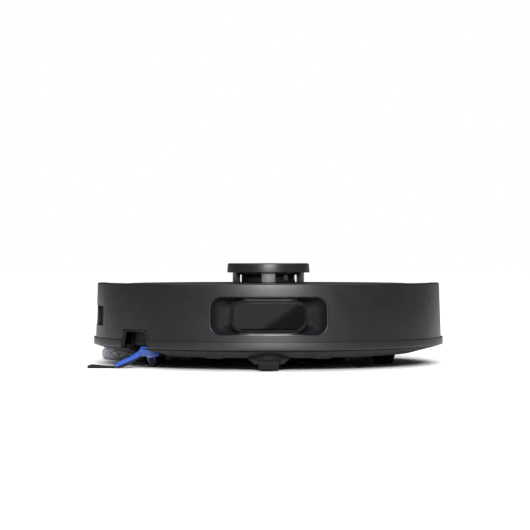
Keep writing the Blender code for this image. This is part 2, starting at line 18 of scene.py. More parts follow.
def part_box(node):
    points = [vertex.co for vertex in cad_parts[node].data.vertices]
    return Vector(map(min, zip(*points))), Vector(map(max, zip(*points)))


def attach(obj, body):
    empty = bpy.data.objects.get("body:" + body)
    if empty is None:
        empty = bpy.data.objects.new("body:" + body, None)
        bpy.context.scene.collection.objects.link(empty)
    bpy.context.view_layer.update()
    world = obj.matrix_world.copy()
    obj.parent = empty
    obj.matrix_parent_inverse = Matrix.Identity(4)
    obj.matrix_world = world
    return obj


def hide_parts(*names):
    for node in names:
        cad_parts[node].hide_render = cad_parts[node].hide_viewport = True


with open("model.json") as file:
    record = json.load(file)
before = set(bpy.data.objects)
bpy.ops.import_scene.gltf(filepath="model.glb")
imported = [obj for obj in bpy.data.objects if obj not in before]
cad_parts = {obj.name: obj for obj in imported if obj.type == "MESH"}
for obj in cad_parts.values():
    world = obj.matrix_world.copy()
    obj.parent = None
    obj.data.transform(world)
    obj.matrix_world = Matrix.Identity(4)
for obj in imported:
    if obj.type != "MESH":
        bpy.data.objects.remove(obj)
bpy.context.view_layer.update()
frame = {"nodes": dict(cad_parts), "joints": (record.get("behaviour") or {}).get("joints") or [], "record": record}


# %% [markdown]
# ## Reading places from the frame
# Nothing is placed by eye: a box gives where a node starts and ends, and a joint gives the axis
# that a moving piece turns on. Three short helpers read both in millimetres.

# %% Reading helpers
MM = 0.001


def low(node):
    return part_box(node)[0] / MM


def high(node):
    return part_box(node)[1] / MM


def joint_at(name):
    found = [joint for joint in frame["joints"] if joint["name"] == name]
    return Vector(found[0]["pos_m"]) / MM


LIP_R = high("rear_skirt").x
SKIRT_Z0, SKIRT_Z1 = low("rear_skirt").z, high("rear_skirt").z
WALL_LOW_R = high("rear_shell").x
WALL_TOP_R = WALL_LOW_R - 2.0
FRONT_RIM_Z, REAR_RIM_Z = high("bumper_shell").z, high("rear_shell").z
GAP = 0.3
print("skirt radius", round(LIP_R, 1), "rim heights", round(FRONT_RIM_Z, 1), round(REAR_RIM_Z, 1))


# %% [markdown]
# ## Camera
# The robot is seen straight from the front with a long lens, level with the top of its turret.
# A long lens far away keeps the circle of the body from looking pinched.

# %% Camera
camera = bpy.data.objects.new("camera", bpy.data.cameras.new("camera"))
bpy.context.scene.collection.objects.link(camera)
bpy.context.scene.camera = camera
camera.data.sensor_width = 36.0
camera.data.lens = 125.3
camera.location = (-0.0035, -1.922, 0.1021)
camera.rotation_euler = (math.radians(90), 0, 0)
camera.data.clip_start, camera.data.clip_end = 0.05, 60.0


# %% [markdown]
# ## Studio
# A matte dark product needs light that it can mirror. A wide soft box stands behind the camera
# and draws the broad glow down the middle of the bumper. A second one is turned, so that its edge
# crosses the flat window as a diagonal. A lamp on either side and a little behind draws the bright
# edge lines, and a broad sun overhead keeps the whole floor pale.

# %% Studio
def area_light(name, place, target, size, power, turn=0.0):
    lamp = bpy.data.lights.new(name, "AREA")
    lamp.shape, lamp.size, lamp.size_y = "RECTANGLE", size[0], size[1]
    lamp.energy = power
    holder = bpy.data.objects.new(name, lamp)
    bpy.context.scene.collection.objects.link(holder)
    holder.location = place
    aim = (Vector(target) - Vector(place)).to_track_quat("-Z", "Y").to_matrix().to_4x4()
    holder.rotation_euler = (aim @ Matrix.Rotation(math.radians(turn), 4, "Z")).to_euler()
    holder.visible_camera = False
    return holder


MIDDLE = (0, 0, 0.06)
area_light("front_softbox", (0.12, -2.7, 1.0), MIDDLE, (1.4, 0.5), 180)
area_light("window_card", (-0.19, -2.6, 0.66), (-0.19, 0, 0.3), (1.1, 0.8), 1.7, turn=35)
area_light("left_edge_light", (-1.05, 1.45, 0.4), MIDDLE, (0.25, 0.8), 0.12)
area_light("right_edge_light", (1.1, 1.4, 0.4), MIDDLE, (0.25, 0.8), 0.3)
sun = bpy.data.lights.new("overhead_sun", "SUN")
sun.energy, sun.angle = 3.7, math.radians(100)
sun_holder = bpy.data.objects.new("overhead_sun", sun)
bpy.context.scene.collection.objects.link(sun_holder)
sun_holder.rotation_euler = (math.radians(12), 0, 0)

world = bpy.data.worlds.new("studio")
bpy.context.scene.world = world
world.use_nodes = True
sky = world.node_tree
sky.nodes.clear()
path = sky.nodes.new("ShaderNodeLightPath")


def background(color, strength):
    node = sky.nodes.new("ShaderNodeBackground")
    node.inputs["Color"].default_value = (*color, 1)
    node.inputs["Strength"].default_value = strength
    return node


seen = background((1, 1, 1), 1.0)
felt = background((0.95, 0.97, 1.0), 0.09)
pick = sky.nodes.new("ShaderNodeMixShader")
out = sky.nodes.new("ShaderNodeOutputWorld")
sky.links.new(path.outputs["Is Camera Ray"], pick.inputs[0])
sky.links.new(felt.outputs[0], pick.inputs[1])
sky.links.new(seen.outputs[0], pick.inputs[2])
sky.links.new(pick.outputs[0], out.inputs[0])
bpy.context.scene.view_settings.view_transform = "Standard"


# %% [markdown]
# ## Finishes
# Every finish shares one recipe, because real mouldings share it too: a colour that drifts very
# slightly over the piece, a roughness that changes where hands and dust have been, and a fine
# grain in relief. Only the numbers differ. All patterns read Object coordinates, so they stay
# where they are on the piece.

# %% The shared recipe
def shader_for(name):
    mat = bpy.data.materials.new(name)
    mat.use_nodes = True
    return mat, mat.node_tree, mat.node_tree.nodes["Principled BSDF"]


def noise(tree, where, scale, detail=4.0, roughness=0.55):
    node = tree.nodes.new("ShaderNodeTexNoise")
    node.inputs["Scale"].default_value = scale
    node.inputs["Detail"].default_value = detail
    node.inputs["Roughness"].default_value = roughness
    tree.links.new(where, node.inputs["Vector"])
    return node


def spread(tree, value, low_out, high_out, low_in=0.3, high_in=0.7):
    node = tree.nodes.new("ShaderNodeMapRange")
    node.inputs["From Min"].default_value, node.inputs["From Max"].default_value = low_in, high_in
    node.inputs["To Min"].default_value, node.inputs["To Max"].default_value = low_out, high_out
    tree.links.new(value, node.inputs["Value"])
    return node.outputs["Result"]


def mix_colors(tree, factor, first, second):
    node = tree.nodes.new("ShaderNodeMix")
    node.data_type = "RGBA"
    tree.links.new(factor, node.inputs["Factor"])
    node.inputs["A"].default_value = (*first, 1)
    node.inputs["B"].default_value = (*second, 1)
    return node.outputs["Result"]


def add_relief(tree, shader, height, strength, distance):
    node = tree.nodes.new("ShaderNodeBump")
    node.inputs["Strength"].default_value = strength
    node.inputs["Distance"].default_value = distance * MM
    tree.links.new(height, node.inputs["Height"])
    tree.links.new(node.outputs["Normal"], shader.inputs["Normal"])


def moulded(name, color, roughness, grain=2200.0, depth=0.03, drift=0.16, sheen_gap=0.1, specular=0.5,
            metallic=0.0):
    """A moulded or cast finish: drifting colour, uneven roughness and a fine grain in relief."""
    mat, tree, shader = shader_for(name)
    where = tree.nodes.new("ShaderNodeTexCoord").outputs["Object"]
    patches = noise(tree, where, 28.0, 5.0)
    lighter = tuple(c * (1 + drift) + 0.001 for c in color)
    darker = tuple(c * (1 - drift) for c in color)
    tree.links.new(mix_colors(tree, patches.outputs["Fac"], darker, lighter), shader.inputs["Base Color"])
    smears = noise(tree, where, 75.0, 6.0, 0.6)
    worn = spread(tree, smears.outputs["Fac"], roughness - sheen_gap / 2, roughness + sheen_gap / 2)
    tree.links.new(worn, shader.inputs["Roughness"])
    fine = noise(tree, where, grain, 2.0)
    add_relief(tree, shader, fine.outputs["Fac"], min(1.0, depth * 8), depth)
    shader.inputs["Metallic"].default_value = metallic
    shader.inputs["Specular IOR Level"].default_value = specular
    return mat


# %% [markdown]
# The finishes of this robot: graphite shell, near black underside, mid grey working parts,
# infrared-black windows, tyre rubber, the blue soft brush, the mop's blue carrier and its fibre,
# plated contacts, green board, smoked clear boxes and filter paper.

# %% The robot's own finishes
shell = moulded("shell_graphite", (0.0042, 0.0047, 0.0054), 0.37, depth=0.03, drift=0.10, specular=0.24)
cap_shell = moulded("turret_graphite", (0.007, 0.0075, 0.008), 0.36, depth=0.025, drift=0.10, specular=0.22)
dark = moulded("underside_black", (0.0042, 0.0042, 0.0045), 0.55, grain=1500, depth=0.06, specular=0.09)
# shadow_black is near-black. It is the window frame's own black, and painted shade behind openings: the deep bay
# of the side brush, the side sensor tray and the liner behind the exhaust slots.
black_and_painted_shade = moulded("shadow_black", (0.002, 0.002, 0.002), 0.7, depth=0.04, specular=0.1)
grey = moulded("works_grey", (0.12, 0.125, 0.13), 0.5, grain=1600, depth=0.05)
cap_gloss = moulded("post_graphite", (0.010, 0.0105, 0.0115), 0.34, depth=0.01, drift=0.10, specular=0.6)
band = moulded("skirt_graphite", (0.005, 0.0054, 0.006), 0.42, depth=0.03, drift=0.10, specular=0.25)
glass = moulded("pane_black", (0.0015, 0.0015, 0.002), 0.03, grain=300, depth=0.0002, sheen_gap=0.015)
window = moulded("window_black", (0.004, 0.004, 0.005), 0.22, grain=300, depth=0.002, sheen_gap=0.05)
rubber = moulded("tyre_black", (0.006, 0.006, 0.0063), 0.75, grain=900, depth=0.12, specular=0.12)
blue = moulded("soft_blue", (0.008, 0.040, 0.21), 0.36, grain=1400, depth=0.03, drift=0.12)
bristle = moulded("bristle_black", (0.004, 0.004, 0.0045), 0.5, grain=3000, depth=0.02, specular=0.2)
carrier = moulded("carrier_blue", (0.05, 0.08, 0.30), 0.45, grain=1600, depth=0.04)
steel = moulded("plated_steel", (0.42, 0.41, 0.39), 0.28, grain=2500, depth=0.012, drift=0.06, metallic=1.0)
board = moulded("board_green", (0.015, 0.12, 0.05), 0.4, grain=700, depth=0.02)
paper = moulded("filter_paper", (0.72, 0.72, 0.68), 0.9, grain=1200, depth=0.2, drift=0.05)


# %% [markdown]
# Two finishes need more than the recipe. The smoked boxes let light through. The mop's fibre is
# a cloth: each loop is a real thread in the mesh, so its material only has to vary from thread to
# thread and to scatter light at a glancing angle, which is what sheen does.

# %% Clear plastic and mop fibre
def smoked_plastic():
    mat, tree, shader = shader_for("smoked_clear")
    where = tree.nodes.new("ShaderNodeTexCoord").outputs["Object"]
    haze = noise(tree, where, 90.0, 5.0)
    tree.links.new(spread(tree, haze.outputs["Fac"], 0.08, 0.2), shader.inputs["Roughness"])
    tree.links.new(mix_colors(tree, haze.outputs["Fac"], (0.22, 0.24, 0.26), (0.3, 0.32, 0.34)),
                   shader.inputs["Base Color"])
    shader.inputs["Transmission Weight"].default_value = 0.85
    shader.inputs["IOR"].default_value = 1.49
    return mat


def mop_cloth():
    mat, tree, shader = shader_for("mop_fibre")
    where = tree.nodes.new("ShaderNodeTexCoord").outputs["Object"]
    tufts = noise(tree, where, 420.0, 5.0, 0.7)
    tree.links.new(mix_colors(tree, tufts.outputs["Fac"], (0.20, 0.21, 0.24), (0.62, 0.64, 0.68)),
                   shader.inputs["Base Color"])
    weave = noise(tree, where, 1800.0, 3.0)
    tree.links.new(spread(tree, weave.outputs["Fac"], 0.78, 0.98), shader.inputs["Roughness"])
    add_relief(tree, shader, weave.outputs["Fac"], 0.6, 0.3)
    shader.inputs["Sheen Weight"].default_value = 0.5
    shader.inputs["Sheen Roughness"].default_value = 0.4
    return mat


smoked = smoked_plastic()
cloth = mop_cloth()
print("finishes made:", len(bpy.data.materials))


# %% [markdown]
# ## Shapes
# Almost every casing of this robot is round, so most shells are turned: a closed outline of
# radius and height is swept round the upright axis. Each corner of the outline can ask for its
# own rounding, because no moulded edge is truly sharp and a rounded edge catches the light.

# %% Outlines with rounded corners
def rounded(points, steps=4):
    """Round the corners of a closed outline; a point's third number is its rounding radius."""
    done = []
    for i, point in enumerate(points):
        here = Vector(point[:2])
        radius = point[2] if len(point) > 2 else 0.0
        before, after = Vector(points[i - 1][:2]), Vector(points[(i + 1) % len(points)][:2])
        to_before, to_after = (before - here), (after - here)
        if radius <= 0 or to_before.length < 1e-6 or to_after.length < 1e-6:
            done.append((here.x, here.y))
            continue
        angle = to_before.angle(to_after)
        reach = min(radius / math.tan(angle / 2), 0.49 * to_before.length, 0.49 * to_after.length)
        start = here + to_before.normalized() * reach
        end = here + to_after.normalized() * reach
        for k in range(steps + 1):
            t = k / steps
            spot = start * (1 - t) ** 2 + here * 2 * t * (1 - t) + end * t ** 2
            done.append((spot.x, spot.y))
    return done


def arc(cx, cy, radius, start, sweep, steps):
    return [(cx + radius * math.cos(math.radians(start + sweep * i / steps)),
             cy + radius * math.sin(math.radians(start + sweep * i / steps))) for i in range(steps + 1)]


def circle(cx, cy, radius, steps):
    return arc(cx, cy, radius, 0, 360, steps)[:-1]


def round_rect(half, z0, z1, corner, steps=10, straight=12, middle=0.0):
    """Outline of a rounded rectangle about X = middle, with extra points on its long sides."""
    right = arc(middle + half - corner, z0 + corner, corner, -90, 90, steps)
    right += arc(middle + half - corner, z1 - corner, corner, 0, 90, steps)
    left = arc(middle - half + corner, z1 - corner, corner, 90, 90, steps)
    left += arc(middle - half + corner, z0 + corner, corner, 180, 90, steps)
    top = [(middle + (half - corner) * (1 - 2 * i / straight), z1) for i in range(1, straight)]
    bottom = [(middle - (half - corner) * (1 - 2 * i / straight), z0) for i in range(1, straight)]
    return right + top + left + bottom


# %% [markdown]
# Three builders make the solids: one turns an outline, one pulls a flat outline straight, and one
# bridges a stack of rings, which suits dished and tapered forms. A fourth turns a mesh builder's
# result into a piece: it scales to metres, points the faces outwards and smooths the round parts.

# %% Builders
def turned(profile, centre=(0.0, 0.0), steps=180, start=0.0, sweep=360.0):
    bm = bmesh.new()
    whole = sweep >= 360.0
    columns = []
    for i in range(steps if whole else steps + 1):
        a = math.radians(start + sweep * i / steps)
        columns.append([bm.verts.new((centre[0] + r * math.cos(a), centre[1] + r * math.sin(a), z))
                        for r, z in profile])
    for i in range(steps):
        here, there = columns[i], columns[(i + 1) % len(columns)]
        for k in range(len(profile)):
            after = (k + 1) % len(profile)
            if profile[k][0] > 0 or profile[after][0] > 0:
                bm.faces.new((here[k], there[k], there[after], here[after]))
    if not whole:
        bm.faces.new(columns[0])
        bm.faces.new(list(reversed(columns[-1])))
    bmesh.ops.remove_doubles(bm, verts=bm.verts, dist=1e-4)
    return bm


def prism(outline, start, end, axis="Z"):
    order = {"Z": lambda u, v, w: (u, v, w), "Y": lambda u, v, w: (u, w, v), "X": lambda u, v, w: (w, u, v)}
    bm = bmesh.new()
    ends = [[bm.verts.new(order[axis](u, v, w)) for u, v in outline] for w in (start, end)]
    bm.faces.new(ends[0])
    bm.faces.new(ends[1])
    for i in range(len(outline)):
        k = (i + 1) % len(outline)
        bm.faces.new((ends[0][i], ends[0][k], ends[1][k], ends[1][i]))
    return bm


def bridged(rings, closed_stack=False, closed_rings=True):
    """Join rings of equal length; closed_stack joins the last to the first, as round a hoop."""
    bm = bmesh.new()
    made = [[bm.verts.new(p) for p in ring] for ring in rings]
    count = len(rings[0])
    stacks = len(made) if closed_stack else len(made) - 1
    for s in range(stacks):
        a, b = made[s], made[(s + 1) % len(made)]
        for i in range(count if closed_rings else count - 1):
            k = (i + 1) % count
            bm.faces.new((a[i], a[k], b[k], b[i]))
    if not closed_stack:
        bm.faces.new(made[0])
        bm.faces.new(list(reversed(made[-1])))
    elif not closed_rings:
        bm.faces.new([ring[0] for ring in made])
        bm.faces.new([ring[-1] for ring in reversed(made)])
    return bm


def merged(parts):
    """One mesh from several; the others are added to the first."""
    for part in parts[1:]:
        spare = bpy.data.meshes.new("spare")
        part.to_mesh(spare)
        part.free()
        parts[0].from_mesh(spare)
    return parts[0]


def laid_along_x(bm, centre):
    bmesh.ops.transform(bm, matrix=Matrix.Rotation(math.radians(90), 4, "Y"), verts=bm.verts)
    bmesh.ops.translate(bm, vec=Vector(centre), verts=bm.verts)
    return bm


def smooth_round_parts(mesh, angle):
    mesh.shade_smooth()
    mesh.set_sharp_from_angle(angle=math.radians(angle))


def raw_object(bm, name, mat, smooth=32):
    bmesh.ops.recalc_face_normals(bm, faces=bm.faces)
    bmesh.ops.scale(bm, vec=(MM, MM, MM), verts=bm.verts)
    mesh = bpy.data.meshes.new(name)
    bm.to_mesh(mesh)
    bm.free()
    mesh.materials.append(mat)
    smooth_round_parts(mesh, smooth)
    obj = bpy.data.objects.new(name, mesh)
    bpy.context.scene.collection.objects.link(obj)
    return obj


# %% [markdown]
# Openings are cut with Boolean modifiers, which are then made real, so the finished piece is a
# plain mesh. The last helper registers a piece: the body it rides on and the plain CAD solids
# that it stands for.

# %% Cutting and registering
def made_real(obj):
    """The mesh that an object's modifiers give; the modifiers are removed."""
    bpy.context.view_layer.update()
    solid = bpy.data.meshes.new_from_object(obj.evaluated_get(bpy.context.evaluated_depsgraph_get()))
    obj.modifiers.clear()
    return solid


def flatten(obj, smooth=32):
    solid = made_real(obj)
    old, obj.data = obj.data, solid
    bpy.data.meshes.remove(old)
    smooth_round_parts(solid, smooth)
    return obj


def carve(obj, *shapes, operation="DIFFERENCE", smooth=32):
    tools = []
    for shape in shapes:
        ready = isinstance(shape, bpy.types.Object)
        tool = shape if ready else raw_object(shape, "tool", obj.data.materials[0])
        tools.append(tool)
        step = obj.modifiers.new("cut", "BOOLEAN")
        step.operation, step.solver, step.object = operation, "EXACT", tool
    flatten(obj, smooth)
    for tool in tools:
        bpy.data.objects.remove(tool, do_unlink=True)
    return obj


BODY_OF = {node: body for body, nodes in frame["record"]["behaviour"]["bodies"].items() for node in nodes}
SLOT_OF = {part["node"]: part["material_slot"] for part in frame["record"]["subparts"]}


def register(obj, name, like, *replaced, slot=None):
    """Let a piece ride with the CAD node it belongs to, and hide the nodes it stands for."""
    obj.name = obj.data.name = name
    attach(obj, BODY_OF[like])
    if replaced:
        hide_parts(*replaced)
    print(f"{name}: {len(obj.data.polygons)} faces, rides on {BODY_OF[like]}")
    return obj


def piece(bm, name, mat, like, cuts=(), smooth=32, slot=None, replace=True, also=()):
    obj = raw_object(bm, name, mat, smooth)
    if cuts:
        carve(obj, *cuts, smooth=smooth)
    return register(obj, name, like, *((like,) if replace else ()), *also, slot=slot)


def lining(bm, name, mat, like, **options):
    """A dark extra beside a CAD node, which stays visible."""
    return piece(bm, name, mat, like, replace=False, slot="dark_base", **options)


# %% [markdown]
# ## Geometry Nodes: one tree for copies on a circle, one for copies on a line
# Screws, posts, tread lugs, slots and ribs all repeat one small shape. A node tree puts copies of
# that shape on the points of a circle or of a line, makes the copies real and gives them their
# material. The inputs are named sizes, and they are set through each socket's identifier.

# %% Node tree helpers
def start_tree(name, **inputs):
    tree = bpy.data.node_groups.new(name, "GeometryNodeTree")
    for label, kind in inputs.items():
        tree.interface.new_socket(label, in_out="INPUT", socket_type="NodeSocket" + kind)
    tree.interface.new_socket("Geometry", in_out="OUTPUT", socket_type="NodeSocketGeometry")
    return tree, tree.nodes.new("NodeGroupInput"), tree.nodes.new("NodeGroupOutput")


def add_node(tree, kind, links=(), **settings):
    node = tree.nodes.new(kind)
    for key, value in settings.items():
        setattr(node, key, value)
    for socket, source in links:
        if isinstance(source, bpy.types.Node):
            source = source.outputs[0]
        if isinstance(source, bpy.types.NodeSocket):
            tree.links.new(source, node.inputs[socket])
        else:
            node.inputs[socket].default_value = source
    return node


def copies_on(tree, source, points, *more):
    shape = add_node(tree, "GeometryNodeObjectInfo", [("Object", source.outputs["Shape"])])
    return add_node(tree, "GeometryNodeInstanceOnPoints", [("Points", points),
                                                           ("Instance", shape.outputs["Geometry"]),
                                                           *more])


def end_tree(tree, source, sink, geometry):
    real = add_node(tree, "GeometryNodeRealizeInstances", [("Geometry", geometry)])
    coated = add_node(tree, "GeometryNodeSetMaterial",
                      [("Geometry", real), ("Material", source.outputs["Material"])])
    tree.links.new(coated.outputs[0], sink.inputs[0])
    return tree


def grown(tree, name, mat, values, start_mesh=None, smooth=32):
    """Run a tree on an object and return the result as a plain mesh object."""
    obj = bpy.data.objects.new(name, start_mesh or bpy.data.meshes.new(name))
    bpy.context.scene.collection.objects.link(obj)
    step = obj.modifiers.new("grow", "NODES")
    step.node_group = tree
    for item in tree.interface.items_tree:
        if item.in_out == "INPUT" and item.name in values:
            step[item.identifier] = values[item.name]
        elif item.in_out == "INPUT" and item.name == "Material":
            step[item.identifier] = mat
    solid = obj.data = made_real(obj)
    if not solid.materials:
        solid.materials.append(mat)
    smooth_round_parts(solid, smooth)
    return obj


# %% [markdown]
# The circle tree turns every copy to face outwards. The line tree only steps along. Both read the
# copied shape from an object that is thrown away afterwards.

# %% The two trees
def circle_tree():
    tree, source, sink = start_tree("copies_on_a_circle", Shape="Object", Count="Int", Radius="Float",
                                    Start="Float", Centre="Vector", Material="Material")
    ring = add_node(tree, "GeometryNodeMeshCircle", [("Vertices", source.outputs["Count"]),
                                                     ("Radius", source.outputs["Radius"])])
    index = add_node(tree, "GeometryNodeInputIndex")
    share = add_node(tree, "ShaderNodeMath", [(0, index), (1, source.outputs["Count"])], operation="DIVIDE")
    turn = add_node(tree, "ShaderNodeMath", [(0, share), (1, 2 * math.pi)], operation="MULTIPLY")
    angles = add_node(tree, "ShaderNodeCombineXYZ", [("Z", turn)])
    copies = copies_on(tree, source, ring, ("Rotation", angles))
    start = add_node(tree, "ShaderNodeCombineXYZ", [("Z", source.outputs["Start"])])
    placed = add_node(tree, "GeometryNodeTransform", [("Geometry", copies),
                                                      ("Translation", source.outputs["Centre"]),
                                                      ("Rotation", start)])
    return end_tree(tree, source, sink, placed)


def line_tree():
    tree, source, sink = start_tree("copies_on_a_line", Shape="Object", Count="Int", First="Vector",
                                    Step="Vector", Material="Material")
    line = add_node(tree, "GeometryNodeMeshLine", [("Count", source.outputs["Count"]),
                                                   ("Start Location", source.outputs["First"]),
                                                   ("Offset", source.outputs["Step"])])
    return end_tree(tree, source, sink, copies_on(tree, source, line))


CIRCLE, LINE = circle_tree(), line_tree()


def grown_from(tree, bm, name, mat, values, start_mesh=None, smooth=32):
    """Run a tree that copies a shape, and throw the shape away."""
    shape = raw_object(bm, "shape", mat, smooth)
    obj = grown(tree, name, mat, {"Shape": shape, **values}, start_mesh, smooth)
    bpy.data.objects.remove(shape, do_unlink=True)
    return obj


def in_metres(place):
    return [c * MM for c in place]


def around(bm, name, mat, count, radius, centre, start=0.0, smooth=32):
    """Copies of a shape, drawn facing +X at the origin, on a circle about an upright axis."""
    values = {"Count": count, "Radius": radius * MM, "Start": math.radians(start),
              "Centre": in_metres(centre)}
    return grown_from(CIRCLE, bm, name, mat, values, smooth=smooth)


def along(bm, name, mat, count, first, step, smooth=32):
    values = {"Count": count, "First": in_metres(first), "Step": in_metres(step)}
    return grown_from(LINE, bm, name, mat, values, smooth=smooth)


# %% [markdown]
# A third tree grows strands: bristles, brush hairs and mop fibres. Every point of a guide mesh
# carries the direction in which its strand should lean, as an attribute called aim. The tree adds
# a little random tilt and length to each strand, from a fixed seed, so no two look the same.

# %% The strand tree
def strand_tree():
    tree, source, sink = start_tree("strands_on_points", Guide="Geometry", Shape="Object", Tilt="Float",
                                    Shortest="Float", Seed="Int", Material="Material")
    aim = add_node(tree, "GeometryNodeInputNamedAttribute", [("Name", "aim")], data_type="FLOAT_VECTOR")
    facing = add_node(tree, "FunctionNodeAlignRotationToVector", [("Vector", aim)], axis="X")
    most = source.outputs["Tilt"]
    least = add_node(tree, "ShaderNodeMath", [(0, most), (1, -1.0)], operation="MULTIPLY")
    highest = add_node(tree, "ShaderNodeCombineXYZ", [("X", math.pi), ("Y", most), ("Z", most)])
    lowest = add_node(tree, "ShaderNodeCombineXYZ", [("X", -math.pi), ("Y", least), ("Z", least)])
    tilt = add_node(tree, "FunctionNodeRandomValue",
                    [(0, lowest), (1, highest), ("Seed", source.outputs["Seed"])],
                    data_type="FLOAT_VECTOR")
    turn = add_node(tree, "FunctionNodeRotateRotation", [("Rotation", facing), ("Rotate By", tilt)],
                    rotation_space="LOCAL")
    size = add_node(tree, "FunctionNodeRandomValue", [(2, source.outputs["Shortest"]), (3, 1.0),
                                                      ("Seed", source.outputs["Seed"])], data_type="FLOAT")
    copies = copies_on(tree, source, source.outputs["Guide"], ("Rotation", turn),
                       ("Scale", size.outputs[1]))
    return end_tree(tree, source, sink, copies)


STRANDS = strand_tree()


def strand(length, thick, bend=0.0, sides=4, steps=3):
    """One hair along +X that droops by bend at its end."""
    rings = []
    for k in range(steps + 1):
        t = k / steps
        radius = thick / 2 * (1 - 0.6 * t)
        droop = -bend * t * t
        rings.append([(length * t, radius * math.cos(2 * math.pi * i / sides),
                       droop + radius * math.sin(2 * math.pi * i / sides)) for i in range(sides)])
    return bridged(rings)


def strands(points, shape, name, mat, tilt, shortest, seed):
    """Grow one strand on each (position, direction) pair; positions are in millimetres."""
    guide = bpy.data.meshes.new("guide")
    guide.from_pydata([in_metres(place) for place, aim in points], [], [])
    lean = guide.attributes.new("aim", "FLOAT_VECTOR", "POINT")
    for i, (place, aim) in enumerate(points):
        lean.data[i].vector = aim
    values = {"Tilt": tilt, "Shortest": shortest, "Seed": seed}
    return grown_from(STRANDS, shape, name, mat, values, guide, smooth=80)


def keep_above(obj, height=0.02):
    """Hairs lie down on the floor instead of going through it."""
    for vert in obj.data.vertices:
        vert.co.z = max(vert.co.z, height * MM)
    return obj


# %% [markdown]
# ## Softened working parts
# The inner parts are mouldings and castings whose shape is already right in the frame. A copy is
# merged, its flat faces are joined and its edges get a small bevel, which is what a real mould
# leaves and what makes an edge catch the light.

# %% Softened copy of a node
def softened(node, mat, width=0.5, cuts=(), smooth=30):
    bm = bmesh.new()
    bm.from_mesh(frame["nodes"][node].data)
    bmesh.ops.scale(bm, vec=(1 / MM, 1 / MM, 1 / MM), verts=bm.verts)
    bmesh.ops.remove_doubles(bm, verts=bm.verts, dist=1e-3)
    bmesh.ops.dissolve_limit(bm, angle_limit=math.radians(0.5), verts=bm.verts, edges=bm.edges)
    obj = raw_object(bm, node + "_finish", mat, smooth)
    edge = obj.modifiers.new("edge", "BEVEL")
    edge.width, edge.segments, edge.limit_method = width * MM, 2, "ANGLE"
    edge.angle_limit = math.radians(40)
    flatten(obj, smooth)
    if cuts:
        carve(obj, *cuts, smooth=smooth)
    return register(obj, node + "_finish", node, node)


# %% [markdown]
# ## The bumper
# The bumper is the front half of the side wall with the rim on top. It is one thin shell that
# leans out a little towards the floor. Its outline is turned through half a circle, and the
# openings for the window, the side brush and the side sensor are cut through it.

# %% Bumper wall
WALL_THICK, NOTCH_BORDER, RIM_R = 2.9, 2.9, 167.0
WALL_Z0 = SKIRT_Z1 + 0.1
TRIM = math.degrees(math.asin(-high("bumper_skirt").y / LIP_R))
WINDOW_HALF, WINDOW_Z0, WINDOW_Z1, WINDOW_CORNER = 56.8, 34.8, 72.1, 11.0
NOTCH = [(-144.0, 12.0), (-139.5, 36.6), (-121.5, 36.6), (-114.5, 12.0)]


def wall_radius(z):
    t = (z - WALL_Z0) / (FRONT_RIM_Z - WALL_Z0)
    return WALL_LOW_R + (WALL_TOP_R - WALL_LOW_R) * t


def eased(t):
    """A smooth step: 0 below 0, 1 above 1."""
    t = min(1.0, max(0.0, t))
    return t * t * (3 - 2 * t)


def on_wall(x, z, depth=0.0):
    """A point of the wall's outer face, sunk straight back by depth."""
    radius = wall_radius(z)
    return Vector((x, -math.sqrt(radius * radius - x * x) + depth, z))


def bumper_wall():
    profile = rounded([(WALL_LOW_R - WALL_THICK, WALL_Z0), (WALL_LOW_R, WALL_Z0),
                       (WALL_TOP_R, FRONT_RIM_Z, 1.7),
                       (RIM_R, FRONT_RIM_Z, 0.8), (RIM_R, FRONT_RIM_Z - 1.7),
                       (174.4, FRONT_RIM_Z - 1.7, 0.3),
                       (WALL_TOP_R - 2.5, FRONT_RIM_Z - 4.0)])
    hole = prism(round_rect(WINDOW_HALF + 0.12, WINDOW_Z0 - 0.12, WINDOW_Z1 + 0.12, WINDOW_CORNER), -190,
                 -150, "Y")
    wider = [(x + (NOTCH_BORDER if x > -130 else -NOTCH_BORDER), z + (NOTCH_BORDER if z > 20 else 0), 2.5)
             for x, z in NOTCH]
    notch = prism(rounded(wider), -166, -88, "Y")
    z0, z1 = low("side_sensor_window").z - 0.6, high("side_sensor_window").z + 0.6
    slot = turned([(168, z0), (190, z0), (190, z1), (168, z1)], steps=18, start=180.0, sweep=21.0)
    piece(turned(profile, steps=220, start=180 + TRIM, sweep=180 - 2 * TRIM), "bumper_wall", shell,
          "bumper_shell",
          cuts=(hole, notch, slot))


bumper_wall()


# %% [markdown]
# ## The window recess
# The window sits in a scooped recess. A stack of rings describes it well: the first ring lies on
# the wall, and each next ring is a little smaller and a little deeper. At the two ends the scoop
# dives steeply and then flattens out towards the window, which is why it looks dark there.

# %% Recess, frame and glass
def window_ring(share, depth, inward=21.0, ends=0.0, sill=None):
    """A ring of the recess: share runs from its rim to the frame, ends deepens it left and right,
    and sill, if given, is the depth along the lower edge."""
    half = WINDOW_HALF - inward * share
    rise = min(1.0, share) ** 0.66 if share > 0 else share
    rise += max(0.0, share - 1.0) * 5.6
    z0, z1 = WINDOW_Z0 + 3.6 * rise, WINDOW_Z1 - 3.9 * rise
    ring = []
    for x, z in round_rect(half, z0, z1, WINDOW_CORNER - 1.8 * share, middle=0.3 * share):
        side = eased((abs(x) - 24.0) / 11.0)
        here = depth
        if sill is not None:
            here += (sill - depth) * eased((46.0 - z) / 8.0) * (1 - eased((abs(x) - 34.0) / 16.0))
        ring.append(on_wall(x, z, here + ends * side))
    return ring


